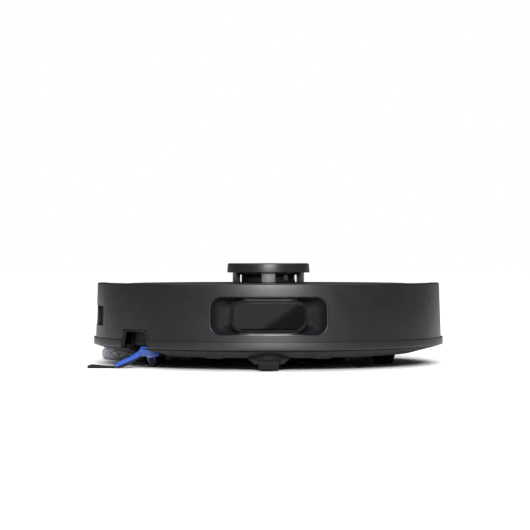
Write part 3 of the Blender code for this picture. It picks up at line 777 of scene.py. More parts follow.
def window_recess():
    scoop = ((0.0, 1.4, 0.0), (-0.004, 0.35, 0.0), (0.006, 0.02, 0.0), (0.03, 0.0, 0.0), (0.06, 0.5, 0.0),
             (0.09, 1.8, 0.1), (0.13, 3.4, 0.3), (0.18, 5.0, 0.8), (0.25, 6.2, 2.0), (0.34, 6.6, 3.9),
             (0.46, 6.8, 5.9), (0.60, 6.9, 7.9), (0.76, 7.0, 10.0), (0.90, 7.0, 11.6), (1.0, 7.0, 12.6))
    front = []
    for share, depth, ends in scoop:
        sill = min(depth, 0.9 * max(0.0, share) + 6.1 * max(0.0, share) ** 9)
        front.append(window_ring(share, depth, ends=ends, sill=sill))
    back = [window_ring(share, depth + 1.2, ends=ends) for share, depth, ends in reversed(scoop[4:])]
    back.append(window_ring(0.0, 2.6))
    piece(bridged(front + back, closed_stack=True), "window_recess", shell, "window_bezel", smooth=60)


def window_frame():
    outer = ((0.99, 19.0), (0.995, 5.6), (1.005, 5.1), (1.03, 4.95), (1.05, 5.0), (1.062, 5.4),
             (1.066, 19.0))
    inner = ((1.070, 9.0), (1.074, 5.9), (1.082, 5.55), (1.094, 5.5), (1.102, 5.8), (1.106, 9.0))
    # The frame takes the same near-black that serves as painted shade elsewhere; here it is the frame's own black.
    piece(bridged([window_ring(*step) for step in outer], closed_stack=True), "window_frame", black_and_painted_shade,
          "sensor_glass", smooth=60, replace=False)
    piece(bridged([window_ring(*step) for step in inner], closed_stack=True), "window_lip", window,
          "sensor_glass", smooth=60, replace=False)


def window_glass():
    """A flat pane that leans back a little, seen through the frame."""
    outline = rounded([(-33.6, 41.4, 7.0), (34.2, 41.4, 7.0), (34.2, 67.6, 7.0), (-33.6, 67.6, 7.0)],
                      steps=8)
    rings = []
    for y in (-167.4, -168.8):
        rings.append([(x, y + (z - 54.5) * math.tan(math.radians(4.0)), z) for x, z in outline])
    piece(bridged(rings), "window_glass", glass, "sensor_glass", smooth=40)


window_recess()
window_frame()
window_glass()


# %% [markdown]
# ## The notch over the side brush
# The wall is cut away over the side brush and the cut has a sloping border. One cross-section is
# carried along the inverted U of the opening: flush with the wall outside, sloping in, and then
# straight back. Behind it, two panels and a roof close the gearbox of the brush: the near panel is
# dark, and the deep panel and the roof are near-black painted shade.

# %% Notch border and its inner panels
def notch_border():
    outline = rounded([(*p, 2.2) for p in NOTCH], steps=5)
    foot = SKIRT_Z0 + 0.3
    share = (foot - NOTCH[0][1]) / (NOTCH[1][1] - NOTCH[0][1])
    left_x = NOTCH[0][0] + (NOTCH[1][0] - NOTCH[0][0]) * share
    right_x = NOTCH[3][0] + (NOTCH[2][0] - NOTCH[3][0]) * share
    path = [(left_x, foot)] + [p for p in outline if p[1] > foot + 0.1] + [(right_x, foot)]
    section = ((NOTCH_BORDER, 2.4), (NOTCH_BORDER, 0.15), (2.6, 0.0), (2.3, 0.1), (0.5, 3.2), (0.0, 3.6),
               (0.0, 8.0), (1.2, 8.0),
               (1.4, 4.4))
    rings = []
    for out_by, depth in section:
        ring = []
        for i, (x, z) in enumerate(path):
            before, after = path[max(i - 1, 0)], path[min(i + 1, len(path) - 1)]
            step = Vector((after[0] - before[0], after[1] - before[1])).normalized()
            ring.append(on_wall(x - step.y * out_by, z + step.x * out_by, depth))
        rings.append(ring)
    lining(bridged(rings, closed_stack=True, closed_rings=False), "notch_border", dark, "bumper_shell",
           smooth=35)


def brush_bay():
    """Panels of the side brush gearbox: a near one towards the middle, and a deep one at the flank, which with the
    roof is near-black painted shade.
    """
    near = rounded([(168.6, 23.6), (170.4, 23.6, 0.5), (170.4, 27.0, 1.0), (169.4, 28.2, 0.8),
                    (169.4, 39.5), (168.6, 39.5)])
    deep = rounded([(162.0, 22.6), (167.0, 22.6, 0.5), (167.0, 23.6, 0.5), (163.2, 24.4, 0.6),
                    (163.2, 39.5), (162.0, 39.5)])
    roof = [(162.0, 38.9), (172.6, 38.9), (172.6, 39.9), (162.0, 39.9)]
    # The deep panel and the roof take the near-black of painted shade; the near panel is dark plastic.
    for name, mat, profile, steps, start, sweep in (("near", dark, near, 10, 219.8, 10.6),
                                                    ("deep", black_and_painted_shade, deep, 10, 213.0, 8.0),
                                                    ("roof", black_and_painted_shade, roof, 16, 213.0, 18.0)):
        lining(turned(profile, steps=steps, start=start, sweep=sweep), "brush_bay_" + name, mat,
               "side_brush_motor")


notch_border()
brush_bay()
softened("side_brush_motor", dark, 0.8)


# %% [markdown]
# ## Side sensor and skirts
# A slot on the right flank holds the sensor that follows walls: a near-black tray, which is painted
# shade in the slot, with a dark panel standing in it. The skirt is a separate band round the lower
# edge. Its front half moves with the bumper, and it breaks where the side brush reaches out.

# %% Side sensor tray, panel and skirts
def side_sensor():
    z0, z1 = low("side_sensor_window").z, high("side_sensor_window").z
    tray = rounded([(172.6, z0 - 0.4), (176.2, z0 - 0.4, 0.4), (174.0, z0 + 1.4, 0.3),
                    (174.0, z1 - 1.4, 0.3),
                    (176.2, z1 + 0.4, 0.4), (172.6, z1 + 0.4)])
    # The tray's near-black is painted shade in the slot.
    lining(turned(tray, steps=20, start=181.4, sweep=19.4), "side_sensor_tray", black_and_painted_shade,
           "side_sensor_window")
    panel = rounded([(174.3, z0 + 1.8), (177.2, z0 + 1.8, 0.6), (177.2, z1 - 1.8, 0.6), (174.3, z1 - 1.8)])
    piece(turned(panel, steps=14, start=181.6, sweep=9.4), "side_sensor_panel", dark, "side_sensor_window")


def skirts():
    inner = WALL_LOW_R - 1.0
    profile = rounded([(inner, SKIRT_Z0), (LIP_R - 0.1, SKIRT_Z0, 0.9), (LIP_R, SKIRT_Z0 + 2.0, 1.0),
                       (LIP_R - 0.1, SKIRT_Z1, 0.3), (inner, SKIRT_Z1)])
    notch_start = 180 + math.degrees(math.acos(-high("bumper_skirt_right").x / (LIP_R - 3.1)))
    notch_end = 180 + math.degrees(math.acos(-low("bumper_skirt").x / LIP_R))
    piece(turned(profile, steps=40, start=180 + TRIM, sweep=notch_start - 180 - TRIM), "skirt_right", band,
          "bumper_skirt_right")
    piece(turned(profile, steps=150, start=notch_end, sweep=360 - TRIM - notch_end), "skirt_front", band,
          "bumper_skirt")
    piece(turned(profile, steps=200, sweep=180), "skirt_rear", band, "rear_skirt")
    print("skirt breaks from", round(notch_start, 1), "to", round(notch_end, 1), "degrees")


side_sensor()
skirts()


# %% [markdown]
# ## The rear shell
# The rear half is fixed to the chassis. It carries the exhaust slots, which are one slot shape
# copied round the wall by the circle tree and then cut through it, and two windows for the
# charging contacts. A near-black liner behind the slots keeps the inside out of sight; it is painted shade.

# %% Rear shell with exhaust slots
def rear_shell():
    inner_rim = 171.3
    profile = rounded([(WALL_LOW_R - WALL_THICK, WALL_Z0), (WALL_LOW_R, WALL_Z0),
                       (WALL_TOP_R, REAR_RIM_Z, 1.6),
                       (inner_rim, REAR_RIM_Z, 0.5), (inner_rim, REAR_RIM_Z - 2.5),
                       (174.0, REAR_RIM_Z - 3.5)])
    ends = prism(rounded([(-6, -1.0), (6, -1.0), (6, 1.0), (-6, 1.0)]), 44.0, 66.0)
    all_round = around(ends, "slots", shell, 120, 177.5, (0, 0, 0), start=0.0)
    keep = bmesh.new()
    keep.from_mesh(all_round.data)
    outside = [v for v in keep.verts if not 0.40 < math.atan2(v.co.y, v.co.x) < 1.02]
    bmesh.ops.delete(keep, geom=outside, context="VERTS")
    keep.to_mesh(all_round.data)
    keep.free()
    windows = [prism(rounded([(x0 - 0.6, 33.4, 1.5), (x1 + 0.6, 33.4, 1.5), (x1 + 0.6, 44.6, 1.5),
                              (x0 - 0.6, 44.6, 1.5)]),
                     168, 190, "Y") for x0, x1 in ((-36, -20), (20, 36))]
    piece(turned(profile, steps=220, sweep=180), "rear_wall", shell, "rear_shell",
          cuts=(all_round, *windows))
    # The liner is painted shade: a near-black sheet behind the exhaust slots.
    liner = rounded([(173.4, 42.0), (174.6, 42.0), (174.6, 68.0), (173.4, 68.0)])
    lining(turned(liner, steps=30, start=20, sweep=42), "exhaust_liner", black_and_painted_shade, "rear_shell")
    backing = rounded([(-40, 31.0, 2), (40, 31.0, 2), (40, 47.0, 2), (-40, 47.0, 2)])
    lining(prism(backing, 168.4, 171.0, "Y"), "contact_backing", dark, "rear_shell")


rear_shell()
for contact in ("charge_contact_left", "charge_contact_right"):
    softened(contact, steel, 0.6)


# %% [markdown]
# ## The top
# The deck closes the body and the round cover lifts off it. The cover is turned with a shallow
# dome, and a fine groove near its edge shows where the decorative plate ends. The buttons stand
# through both.

# %% Deck, cover and buttons
COVER_R, COVER_Z = high("top_cover").x, low("top_cover").z
BUTTONS = ("power_button", "dock_button")


def button_place(button):
    return (low(button) + high(button)) / 2, (high(button).x - low(button).x) / 2


def top_cover():
    top = high("top_cover").z
    profile = rounded([(46.0, COVER_Z), (COVER_R, COVER_Z), (COVER_R, COVER_Z + 0.75, 0.45),
                       (COVER_R - 3.0, COVER_Z + 1.0),
                       (COVER_R - 3.3, COVER_Z + 0.7), (COVER_R - 3.9, COVER_Z + 0.7),
                       (COVER_R - 4.2, COVER_Z + 1.05),
                       (110.0, COVER_Z + 1.35), (70.0, COVER_Z + 1.5), (46.0, top, 0.4)])
    holes = []
    for button in BUTTONS:
        middle, radius = button_place(button)
        rim = circle(middle.x, middle.y, radius + GAP, 40)
        holes.append(prism(rim, 70, 90))
    piece(turned(profile, steps=240), "cover_plate", shell, "top_cover", cuts=holes)


def buttons():
    for button in BUTTONS:
        middle, radius = button_place(button)
        top = high(button).z
        dome = [(0, top), (radius * 0.4, top - 0.08), (radius * 0.75, top - 0.35),
                (radius - 0.25, top - 0.8),
                (radius, top - 1.2), (radius, 77.8), (radius - 0.4, 77.5), (0, 77.5)]
        piece(turned(dome, (middle.x, middle.y), 48), button + "_key", window, button)


top_cover()
buttons()
softened("top_deck", shell, 0.4)


# %% [markdown]
# ## The lidar turret
# The turret is a low neck, a spinning rotor and a sprung cap that stands over it on five posts.
# The cap is turned with a generous edge rounding, since that edge draws the bright line round the
# top. The posts are one post copied by the circle tree.

# %% Neck, cap, posts and rotor
LIDAR_EYE_Z = 89.0


def turret():
    cap_top, cap_z, cap_r = high("lidar_cap").z, 94.3, high("lidar_cap").x
    profile = rounded([(0, cap_top), (cap_r - 0.75, cap_top, 1.9), (cap_r, cap_z, 0.8),
                       (cap_r - 2.2, cap_z, 0.3),
                       (cap_r - 3.0, cap_z + 1.0), (31.6, cap_z + 1.0), (31.6, cap_z - 2.2, 0.3),
                       (30.4, cap_z - 2.2, 0.3), (30.2, cap_z), (0, cap_z)], steps=6)
    piece(turned(profile, steps=160), "turret_cap", cap_shell, "lidar_cap")
    reach, outer, half = 35.0, 37.4, math.degrees(math.asin(6.95 / 37.4))
    wedge = arc(0, 0, outer, -half, 2 * half, 8) + arc(0, 0, 33.0, half, -2 * half, 8)
    outline = [(x - reach, y) for x, y in wedge]
    post = prism(outline, 84.6, 95.4)
    posts = around(post, "turret_posts", cap_gloss, 5, reach, (0, 0, 0), start=-90, smooth=25)
    register(posts, "turret_posts", "lidar_cap")
    neck = rounded([(30.6, 76.0), (37.75, 76.0), (37.75, 83.2, 0.9), (35.5, 83.2, 0.3), (34.6, 82.4),
                    (32.0, 82.4),
                    (31.2, 83.0, 0.2), (30.6, 83.0)])
    piece(turned(neck, steps=140), "turret_neck", cap_shell, "lidar_base", replace=False)
    seat = rounded([(37.9, 81.2), (45.5, 81.2), (45.5, 82.0, 0.4), (41.0, 82.6, 0.5), (37.9, 82.7)])
    lining(turned(seat, steps=140), "turret_seat", dark, "lidar_base")


def lidar():
    rotor = rounded([(0, 73.5), (24.0, 73.5, 0.4), (24.0, 77.5, 0.4), (12.0, 78.5), (12.0, 82.5),
                     (20.0, 84.0),
                     (28.0, 84.0, 0.8), (28.0, 93.0, 0.8), (25.5, 93.0), (25.0, 92.4), (0, 92.4)])
    bore = [prism(circle(x, LIDAR_EYE_Z, 3.3, 32), -40, -20, "Y") for x in (-9.0, 9.0)]
    for bm in bore:
        bmesh.ops.rotate(bm, cent=(0, 0, 0), matrix=Matrix.Rotation(math.radians(59), 3, "Z"),
                         verts=bm.verts)
    piece(turned(rotor, steps=120), "lidar_drum", dark, "lidar_rotor", cuts=bore)
    middle = (low("lidar_lens") + high("lidar_lens")) / 2
    way = math.degrees(math.atan2(middle.y, middle.x))
    lenses = []
    for side in (-19.0, 19.0):
        eye = prism(circle(0, 0, 3.0, 32), 26.6, 27.9, "X")
        for vert in eye.verts:
            spread_out = math.hypot(vert.co.y, vert.co.z) / 3.0
            vert.co.x += 0.5 * (1 - spread_out)
            vert.co.z += LIDAR_EYE_Z
        bmesh.ops.rotate(eye, cent=(0, 0, 0), matrix=Matrix.Rotation(math.radians(way + side), 3, "Z"),
                         verts=eye.verts)
        lenses.append(eye)
    piece(merged(lenses), "lidar_eyes", glass, "lidar_lens")


turret()
lidar()
for node, mat in (("lidar_base", dark), ("lidar_motor", steel), ("lidar_pulley", grey),
                  ("lidar_belt", rubber)):
    softened(node, mat, 0.3)


# %% [markdown]
# ## Wheels
# A drive wheel is a rubber tyre on a ribbed hub. The tyre is turned a little small, and tread
# lugs, one lug copied round it, bring it to its full radius. The hub's outer face gets radial
# ribs in the same way. Both are made round an upright axis and then laid over.

# %% Tyres and hubs
def lay_object(obj, centre):
    obj.data.transform(Matrix.Translation(Vector(centre) * MM) @ Matrix.Rotation(math.radians(90), 4, "Y"))
    return obj


def wheel(side, label):
    hub_axis = joint_at("wheel_spin_" + label)
    centre = (side * 119.0, hub_axis.y, hub_axis.z)
    radius = high("tyre_" + label).z - hub_axis.z
    half = (high("tyre_" + label).x - low("tyre_" + label).x) / 2
    profile = rounded([(27.3, -half), (radius - 2.6, -half, 1.2), (radius - 1.0, -half + 2.2, 1.5),
                       (radius - 1.0, half - 2.2, 1.5), (radius - 2.6, half, 1.2), (27.3, half)])
    piece(laid_along_x(turned(profile, steps=120), centre), "tyre_body_" + label, rubber, "tyre_" + label)
    lug = bridged([[(-1.6, -1.2 + lean, z), (0.98, -0.9 + lean, z), (0.98, 0.9 + lean, z),
                    (-1.6, 1.2 + lean, z)]
                   for z, lean in ((-half + 1.4, -2.2), (-half / 2, -0.6), (0, 1.0), (half / 2, -0.6),
                                   (half - 1.4, -2.2))])
    tread = lay_object(around(lug, "tread_" + label, rubber, 40, radius - 1.0, (0, 0, 0)), centre)
    register(tread, "tread_" + label, "tyre_" + label)
    hub = rounded([(0, -half + 1.0), (27.0, -half + 1.0, 0.6), (27.0, half - 0.6, 0.6),
                   (22.5, half - 0.6, 0.8),
                   (19.0, half - 5.0, 1.0), (8.5, half - 5.0, 0.8), (7.5, half - 1.5, 0.6),
                   (0, half - 1.5)])
    hub = [(r, side * z) for r, z in hub]
    piece(laid_along_x(turned(hub, steps=96), centre), "hub_body_" + label, dark, "wheel_hub_" + label)
    z0, z1 = sorted((side * (half - 5.4), side * (half - 2.0)))
    rib = prism([(-6.0, -0.8), (6.0, -0.8), (6.0, 0.8), (-6.0, 0.8)], z0, z1)
    ribs = lay_object(around(rib, "hub_ribs_" + label, dark, 10, 13.6, (0, 0, 0)), centre)
    register(ribs, "hub_ribs_" + label, "wheel_hub_" + label)


wheel(-1, "right")
wheel(1, "left")
softened("wheel_arm_left", grey, 0.8)
softened("wheel_arm_right", grey, 0.8)


# %% [markdown]
# ## Front caster
# The caster is a round plug with a tapered lower edge that swivels in the underside. Its roller
# is a barrel, so that the robot can turn over a door sill, and it runs on a steel pin.

# %% Caster
def caster():
    pivot = joint_at("caster_swivel")
    axle = joint_at("caster_roll")
    profile = rounded([(0, 6.6), (14.2, 6.6, 1.2), (20.5, 12.0, 1.0), (20.5, 21.5, 0.5), (0, 21.5)])
    slot = rounded([(-10.6, axle.y - 10.6, 2), (10.6, axle.y - 10.6, 2), (10.6, axle.y + 10.6, 2),
                    (-10.6, axle.y + 10.6, 2)])
    piece(turned(profile, (pivot.x, pivot.y), 96), "caster_plug", dark, "caster_fork",
          cuts=(prism(slot, 0, 20.3),))
    barrel = rounded([(0, -10), (8.0, -10, 0.6), (9.3, -7, 1), (9.8, -2.6, 1), (9.8, 2.6, 1), (9.3, 7, 1),
                      (8.0, 10, 0.6),
                      (0, 10)])
    piece(laid_along_x(turned(barrel, steps=72), axle), "caster_barrel", rubber, "caster_roller")
    pin = turned([(0, -13.0), (1.5, -13.0), (1.5, -10.2), (0, -10.2)], steps=20)
    piece(laid_along_x(pin, axle), "caster_pin", steel, "caster_fork", replace=False, slot="contact_metal")


caster()


# %% [markdown]
# ## Main brush
# The roller has soft black fins that run in a V, so that they sweep dirt to the middle, and rows
# of black bristles between them. Each fin is a stack of sections that turn as they move along the
# axis. The bristles are grown on points that follow the same V.

# %% Main brush fins and bristles
def main_brush():
    axis = joint_at("main_brush_spin")
    reach = 78.8

    def v_angle(x, first):
        return first + 0.75 * abs(x) / reach

    core = rounded([(0, -reach), (10.0, -reach, 1.0), (10.8, -reach + 2), (10.8, reach - 2),
                    (10.0, reach, 1.0), (0, reach)])
    piece(laid_along_x(turned(core, steps=64), axis), "brush_core", dark, "main_brush", slot="dark_base")
    fins = []
    for n in range(6):
        rings = []
        for k in range(61):
            x = -reach + 2 * reach * k / 60
            turn = v_angle(x, 2 * math.pi * n / 6)
            out = Vector((0, math.cos(turn), math.sin(turn)))
            side = Vector((0, -math.sin(turn), math.cos(turn)))
            ring = [out * 10.0 - side * 1.5, out * 16.6 - side * 0.7, out * 17.3, out * 16.6 + side * 0.7,
                    out * 10.0 + side * 1.5]
            rings.append([axis * 1.0 + Vector((x, 0, 0)) + p - Vector((axis.x, 0, 0)) for p in ring])
        fins.append(bridged(rings))
    piece(merged(fins), "brush_fins", rubber, "main_brush", replace=False, slot="tyre_rubber")
    points = []
    for n in range(6):
        for k in range(110):
            x = (-reach + 2) + 2 * (reach - 2) * k / 109
            turn = v_angle(x, 2 * math.pi * (n + 0.5) / 6)
            out = Vector((0, math.cos(turn), math.sin(turn)))
            points.append((Vector((x, axis.y, axis.z)) + out * 10.4, out))
    hairs = strands(points, strand(6.6, 0.9), "brush_hairs", bristle, 0.14, 0.9, 3)
    register(hairs, "brush_hairs", "main_brush", slot="bristle_black")


main_brush()
for node, mat, width in (("brush_housing", grey, 0.8), ("brush_gearbox", dark, 0.8),
                         ("brush_guard", dark, 0.7),
                         ("suction_duct", grey, 0.5)):
    softened(node, mat, width)


# %% [markdown]
# ## Side brush
# Two soft blue arms reach down from a hub to the floor, and each ends in a fan of long bristles.
# An arm is a flat oval carried along a curve that starts level and bends down. A black sleeve
# under it holds the bristles, which are grown from its end and lie along the floor.

# %% Arms, sleeves and bristles
def swept(path, sizes, facing, sides=16):
    """Carry an oval, width by height, along a path that lies in one upright plane."""
    across = Vector((-math.sin(facing), math.cos(facing), 0))
    rings = []
    for i, point in enumerate(path):
        before, after = path[max(i - 1, 0)], path[min(i + 1, len(path) - 1)]
        up = (after - before).normalized().cross(across).normalized()
        wide, tall = sizes[i]
        rings.append([point + across * (wide / 2 * math.cos(2 * math.pi * k / sides))
                      + up * (tall / 2 * math.sin(2 * math.pi * k / sides)) for k in range(sides)])
    return bridged(rings)


def curve_through(points, count):
    """Points of a smooth curve through a few guide points."""
    done = []
    spans = len(points) - 1
    for i in range(count):
        u = i / (count - 1) * spans
        k = min(int(u), spans - 1)
        t = u - k
        p0, p1, p2, p3 = (points[max(0, min(spans, k + d))] for d in (-1, 0, 1, 2))
        done.append(tuple(0.5 * (2 * b + (c - a) * t + (2 * a - 5 * b + 4 * c - d) * t * t
                                 + (3 * b - a - 3 * c + d) * t ** 3) for a, b, c, d in zip(p0, p1, p2, p3)))
    return done


def side_brush():
    centre = (low("side_brush_screw") + high("side_brush_screw")) / 2
    hub = rounded([(0, 12.6), (8.6, 12.6, 0.8), (10.4, 14.6, 1.2), (10.4, 19.0, 1.0), (8.6, 22.7, 1.2),
                   (0, 22.7)])
    piece(turned(hub, (centre.x, centre.y), 64), "brush_hub_body", blue, "side_brush_hub")
    arms = {"front": 167.7, "rear": 88.0}
    for label, degrees in arms.items():
        facing = math.radians(degrees)
        out = Vector((math.cos(facing), math.sin(facing), 0))
        origin = Vector((centre.x, centre.y, 0))

        def along_arm(guide, count):
            return [origin + out * r + Vector((0, 0, z)) for r, z in curve_through(guide, count)]

        path = along_arm([(5.0, 17.0), (11.0, 14.6), (18.0, 10.2), (25.0, 7.0), (30.0, 4.8), (34.4, 2.9)],
                         26)
        sizes = [(10.4 - 2.6 * k / 25, 6.2 - 1.4 * k / 25) for k in range(26)]
        piece(swept(path, sizes, facing), "brush_arm_" + label, blue, "side_brush_hub", replace=False)
        sleeve = along_arm([(14.0, 9.6), (20.0, 5.6), (26.0, 2.9), (31.0, 1.7), (37.0, 1.3)], 18)
        sizes = [(4.0 + 2.6 * math.sin(math.pi * k / 17), 1.8 + 1.2 * math.sin(math.pi * k / 17))
                 for k in range(18)]
        piece(swept(sleeve, sizes, facing), "brush_sleeve_" + label, bristle, "side_bristles_" + label,
              replace=False)
        node = "side_bristles_" + label
        length = (high(node) - low(node)).length - 1.0
        across = Vector((-out.y, out.x, 0))
        dice = random.Random(11)
        points = []
        for k in range(260):
            off = dice.uniform(-1, 1)
            start = origin + out * (31.0 + dice.uniform(-1.5, 1.5)) + across * off * 1.5
            start += Vector((0, 0, dice.uniform(0.6, 2.2)))
            lean = out + across * off * 0.10 + Vector((0, 0, dice.uniform(-0.03, 0.035)))
            points.append((start, lean.normalized()))
        reach = {"front": 32.5, "rear": 28.0}[label]
        hairs = strands(points, strand(reach, 0.55, bend=0.8, sides=3, steps=4), "tuft_" + label, bristle,
                        0.02, 0.86, 5)
        keep_above(hairs)
        register(hairs, "tuft_" + label, node, node)
        print("tuft", label, "length", round(length, 1))
    softened("side_brush_screw", steel, 0.25)


side_brush()


# %% [markdown]
# ## Mops
# Each mop is a blue carrier plate under a gearbox, with a round fibre pad below. The pad is real
# depth: a soft body with thousands of short fibres grown on its side and its edge. The fibres
# touch the floor and lie down there.

# %% Carrier plates and fibre pads
CARRIER_R = {"right": 65.0, "left": 60.0}  # the left one lifts inside the rear skirt


def mop(label):
    plate, pad = "mop_plate_" + label, "mop_pad_" + label
    middle, top = (low(pad) + high(pad)) / 2, high(pad).z
    centre = (middle.x, middle.y)
    rim = CARRIER_R[label]
    carrier_profile = rounded([(0, top + 0.3), (rim - 0.2, top + 0.3, 0.5), (rim, 15.4, 1.0),
                               (rim - 3.0, 17.6, 1.4),
                               (56.0, 17.6, 0.4), (54.0, 16.0, 0.4), (16.0, 16.0, 0.6), (12.5, 18.0, 0.6),
                               (12.0, 21.2, 0.8), (0, 21.2)])
    piece(turned(carrier_profile, centre, 128), "carrier_" + label, carrier, plate)
    rib = prism([(-20.0, -0.9), (20.0, -0.9), (20.0, 0.9), (-20.0, 0.9)], 15.6, 17.4)
    ribs = around(rib, "carrier_ribs_" + label, carrier, 12, 34.6, (*centre, 0))
    register(ribs, "carrier_ribs_" + label, plate)
    body = rounded([(0, 0.9), (61.8, 0.9, 2.0), (64.7, 3.6, 3.0), (64.9, 8.6, 3.0), (61.8, top - 0.1, 2.0),
                    (0, top - 0.1)],
                   steps=6)
    cushion = raw_object(turned(body, centre, 160), "pad_body_" + label, cloth, 60)
    dice = random.Random(23)
    for vert in cushion.data.vertices:
        swell = 0.5 * math.sin(9 * math.atan2(vert.co.y - centre[1] * MM, vert.co.x - centre[0] * MM))
        vert.co.z = max(0.2 * MM, vert.co.z + (0.12 * swell + dice.uniform(-0.12, 0.12)) * MM)
    register(cushion, "pad_body_" + label, pad, pad)
    points = []
    for _ in range(5200):
        a = dice.uniform(0, 2 * math.pi)
        level = dice.uniform(0.0, 1.0)
        out = Vector((math.cos(a), math.sin(a), 0))
        radius = 64.4 - 2.0 * (2 * level - 1) ** 4
        place = Vector((*centre, 1.4 + level * (top - 2.4))) + out * radius
        aim = (out + Vector((0, 0, dice.uniform(-0.6, 0.25)))).normalized()
        points.append((place, aim))
    for _ in range(1800):
        a, r = dice.uniform(0, 2 * math.pi), 63 * math.sqrt(dice.uniform(0.02, 1.0))
        out = Vector((math.cos(a), math.sin(a), 0))
        points.append((Vector((*centre, 1.2)) + out * r, (out * 0.8 + Vector((0, 0, -0.6))).normalized()))
    fibres = strands(points, strand(2.3, 0.8, bend=0.8, sides=3, steps=3), "pad_fibres_" + label, cloth,
                     0.5, 0.6, 9)
    keep_above(fibres)
    register(fibres, "pad_fibres_" + label, pad)


mop("right")
mop("left")
for node in ("mop_gearbox_left", "mop_gearbox_right", "mop_arm_right"):
    softened(node, grey, 0.8)


# %% [markdown]
# ## Underside
# The base is a dark cone-edged tray with openings for everything that touches the floor. The
# frame's shape is kept and softened, then it gets the side walls of the mop wells, a service
# hatch and screws, which the line tree sets out in pairs.

# %% Base tray, hatch and screws
def well_walls():
    """Side walls of the two mop wells; the right one is long, because that mop slides out."""
    y = joint_at("mop_spin_left").y
    for label, first, last in (("left", high("mop_pad_left").x - 66.0, high("mop_pad_left").x - 66.0),
                               ("right", -115.0, -72.0)):
        outer = arc(first, y, 69.9, 90, 180, 48) + arc(last, y, 69.9, 270, 180, 48)
        inner = arc(first, y, 68.7, 90, 180, 48) + arc(last, y, 68.7, 270, 180, 48)
        wall = prism(outer, 16.7, 41.0)
        beyond = turned([(172.6, 0), (260, 0), (260, 60), (172.6, 60)], steps=120)
        piece(wall, "well_wall_" + label, dark, "base_chassis", cuts=(prism(inner, 10, 50), beyond),
              replace=False)


def underside():
    softened("base_chassis", dark, 0.6)
    well_walls()
    z = low("base_chassis").z
    hatch = rounded([(-52, 1.5, 3), (52, 1.5, 3), (52, 20.5, 3), (-52, 20.5, 3)], steps=6)
    inset = [(x * 0.985, 11 + (y - 11) * 0.94) for x, y in hatch]
    rings = [[(x, y, z - 0.05) for x, y in hatch], [(x, y, z - 0.55) for x, y in hatch],
             [(x, y, z - 0.85) for x, y in inset]]
    cross = [prism([(-0.45, -1.7), (0.45, -1.7), (0.45, 1.7), (-0.45, 1.7)], -2, -0.4),
             prism([(-1.7, -0.45), (1.7, -0.45), (1.7, 0.45), (-1.7, 0.45)], -2, -0.4)]
    piece(bridged(rings), "service_hatch", dark, "base_chassis", replace=False)
    head = raw_object(prism(circle(0, 0, 2.7, 20), -0.9, 0.0), "screw", steel, 30)
    carve(head, *cross)
    bm = bmesh.new()
    bm.from_mesh(head.data)
    bmesh.ops.scale(bm, vec=(1 / MM, 1 / MM, 1 / MM), verts=bm.verts)
    bpy.data.objects.remove(head, do_unlink=True)
    rows = (((-46, 11, z - 0.7), (92, 0, 0), 2), ((-100, -64, z), (200, 0, 0), 2),
            ((-38, -92, z), (76, 0, 0), 2),
            ((-64, -110, z), (128, 0, 0), 2), ((0, 60, z), (0, 76, 0), 2))
    for n, (first, step, count) in enumerate(rows):
        screws = along(bm.copy(), f"base_screws_{n}", steel, count, first, step)
        register(screws, f"base_screws_{n}", "base_chassis", slot="contact_metal")
    bm.free()


underside()


# %% [markdown]
# ## Inside
# The cover lifts off, so the inside must hold up too: the dust box with its filter, the fan, the
# water tank, the battery and the board. The filter is pleated, one pleat copied along a line, and
# the board carries rows of small parts.

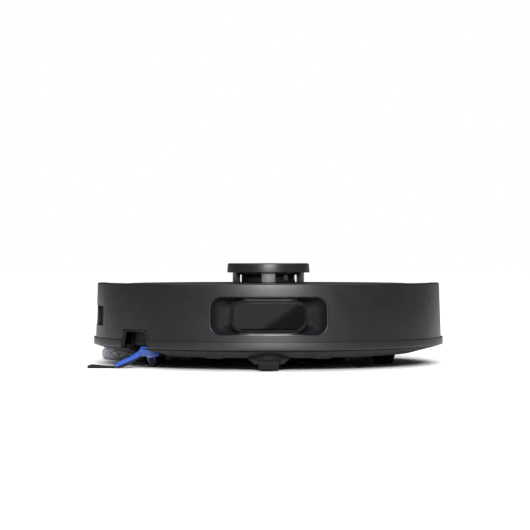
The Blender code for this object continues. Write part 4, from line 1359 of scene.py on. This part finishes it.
# %% Dust box, fan, tank, battery and board
def inside():
    for node, mat, width in (("dust_box", smoked, 0.6), ("dust_box_lid", smoked, 0.6),
                             ("fan_housing", grey, 0.8),
                             ("fan_impeller", dark, 0.3), ("battery_pack", dark, 1.2),
                             ("main_board", board, 0.15),
                             ("water_tank", smoked, 1.5), ("water_pump", grey, 0.8), ("speaker", dark, 0.8),
                             ("sensor_module", dark, 0.5), ("cliff_window_left", window, 0.3),
                             ("cliff_window_right", window, 0.3), ("dust_filter", paper, 0.4)):
        softened(node, mat, width)
    first, last, pitch = low("dust_filter"), high("dust_filter"), 1.9
    pleat = prism([(0, -0.9), (0.9, 0), (0, 0.9)], first.z + 2.5, last.z - 2.5)
    count = int((last.y - first.y - 6) / pitch)
    pleats = along(pleat, "filter_pleats", paper, count, (last.x - 0.9, first.y + 3.5, 0), (0, pitch, 0),
                   smooth=20)
    register(pleats, "filter_pleats", "dust_filter")
    top = high("main_board").z
    chip = prism([(-3, -2), (3, -2), (3, 2), (-3, 2)], top, top + 1.4)
    for n, y in enumerate((26, 38, 52, 64)):
        chips = along(chip.copy(), f"board_parts_{n}", dark, 9, (-60 + 3 * n, y, 0), (13.5, 0, 0))
        register(chips, f"board_parts_{n}", "main_board", slot="dark_base")


inside()


# %% [markdown]
# ## Everything else and the floor
# A CAD node that still shows takes the finish that its slot in the record asks for. The floor is
# a plain pale sheet that lets the view through from below.

# %% Remaining nodes and floor
FINISH_OF = {"graphite_shell": shell, "dark_base": dark, "inner_grey": grey, "black_gloss": window,
             "tyre_rubber": rubber, "brush_blue": blue, "bristle_black": bristle, "mop_blue": carrier,
             "mop_fibre": cloth, "contact_metal": steel, "board_green": board, "smoked_clear": smoked,
             "filter_white": paper}
for node, slot in SLOT_OF.items():
    mesh = frame["nodes"][node].data
    mesh.materials.clear()
    mesh.materials.append(FINISH_OF[slot])

floor_mesh = bpy.data.meshes.new("floor")
floor_mesh.from_pydata([(-30, -8, 0), (30, -8, 0), (30, 50, 0), (-30, 50, 0)], [], [(0, 1, 2, 3)])
floor = bpy.data.objects.new("floor", floor_mesh)
bpy.context.scene.collection.objects.link(floor)
floor_finish = moulded("floor_white", (0.9, 0.9, 0.9), 0.7, grain=200, depth=0.001, drift=0.01)
floor_tree = floor_finish.node_tree
face = floor_tree.nodes.new("ShaderNodeNewGeometry")
clear = floor_tree.nodes.new("ShaderNodeBsdfTransparent")
either = floor_tree.nodes.new("ShaderNodeMixShader")
floor_tree.links.new(face.outputs["Backfacing"], either.inputs[0])
floor_tree.links.new(floor_tree.nodes["Principled BSDF"].outputs[0], either.inputs[1])
floor_tree.links.new(clear.outputs[0], either.inputs[2])
floor_tree.links.new(either.outputs[0], floor_tree.nodes["Material Output"].inputs["Surface"])
floor_mesh.materials.append(floor_finish)
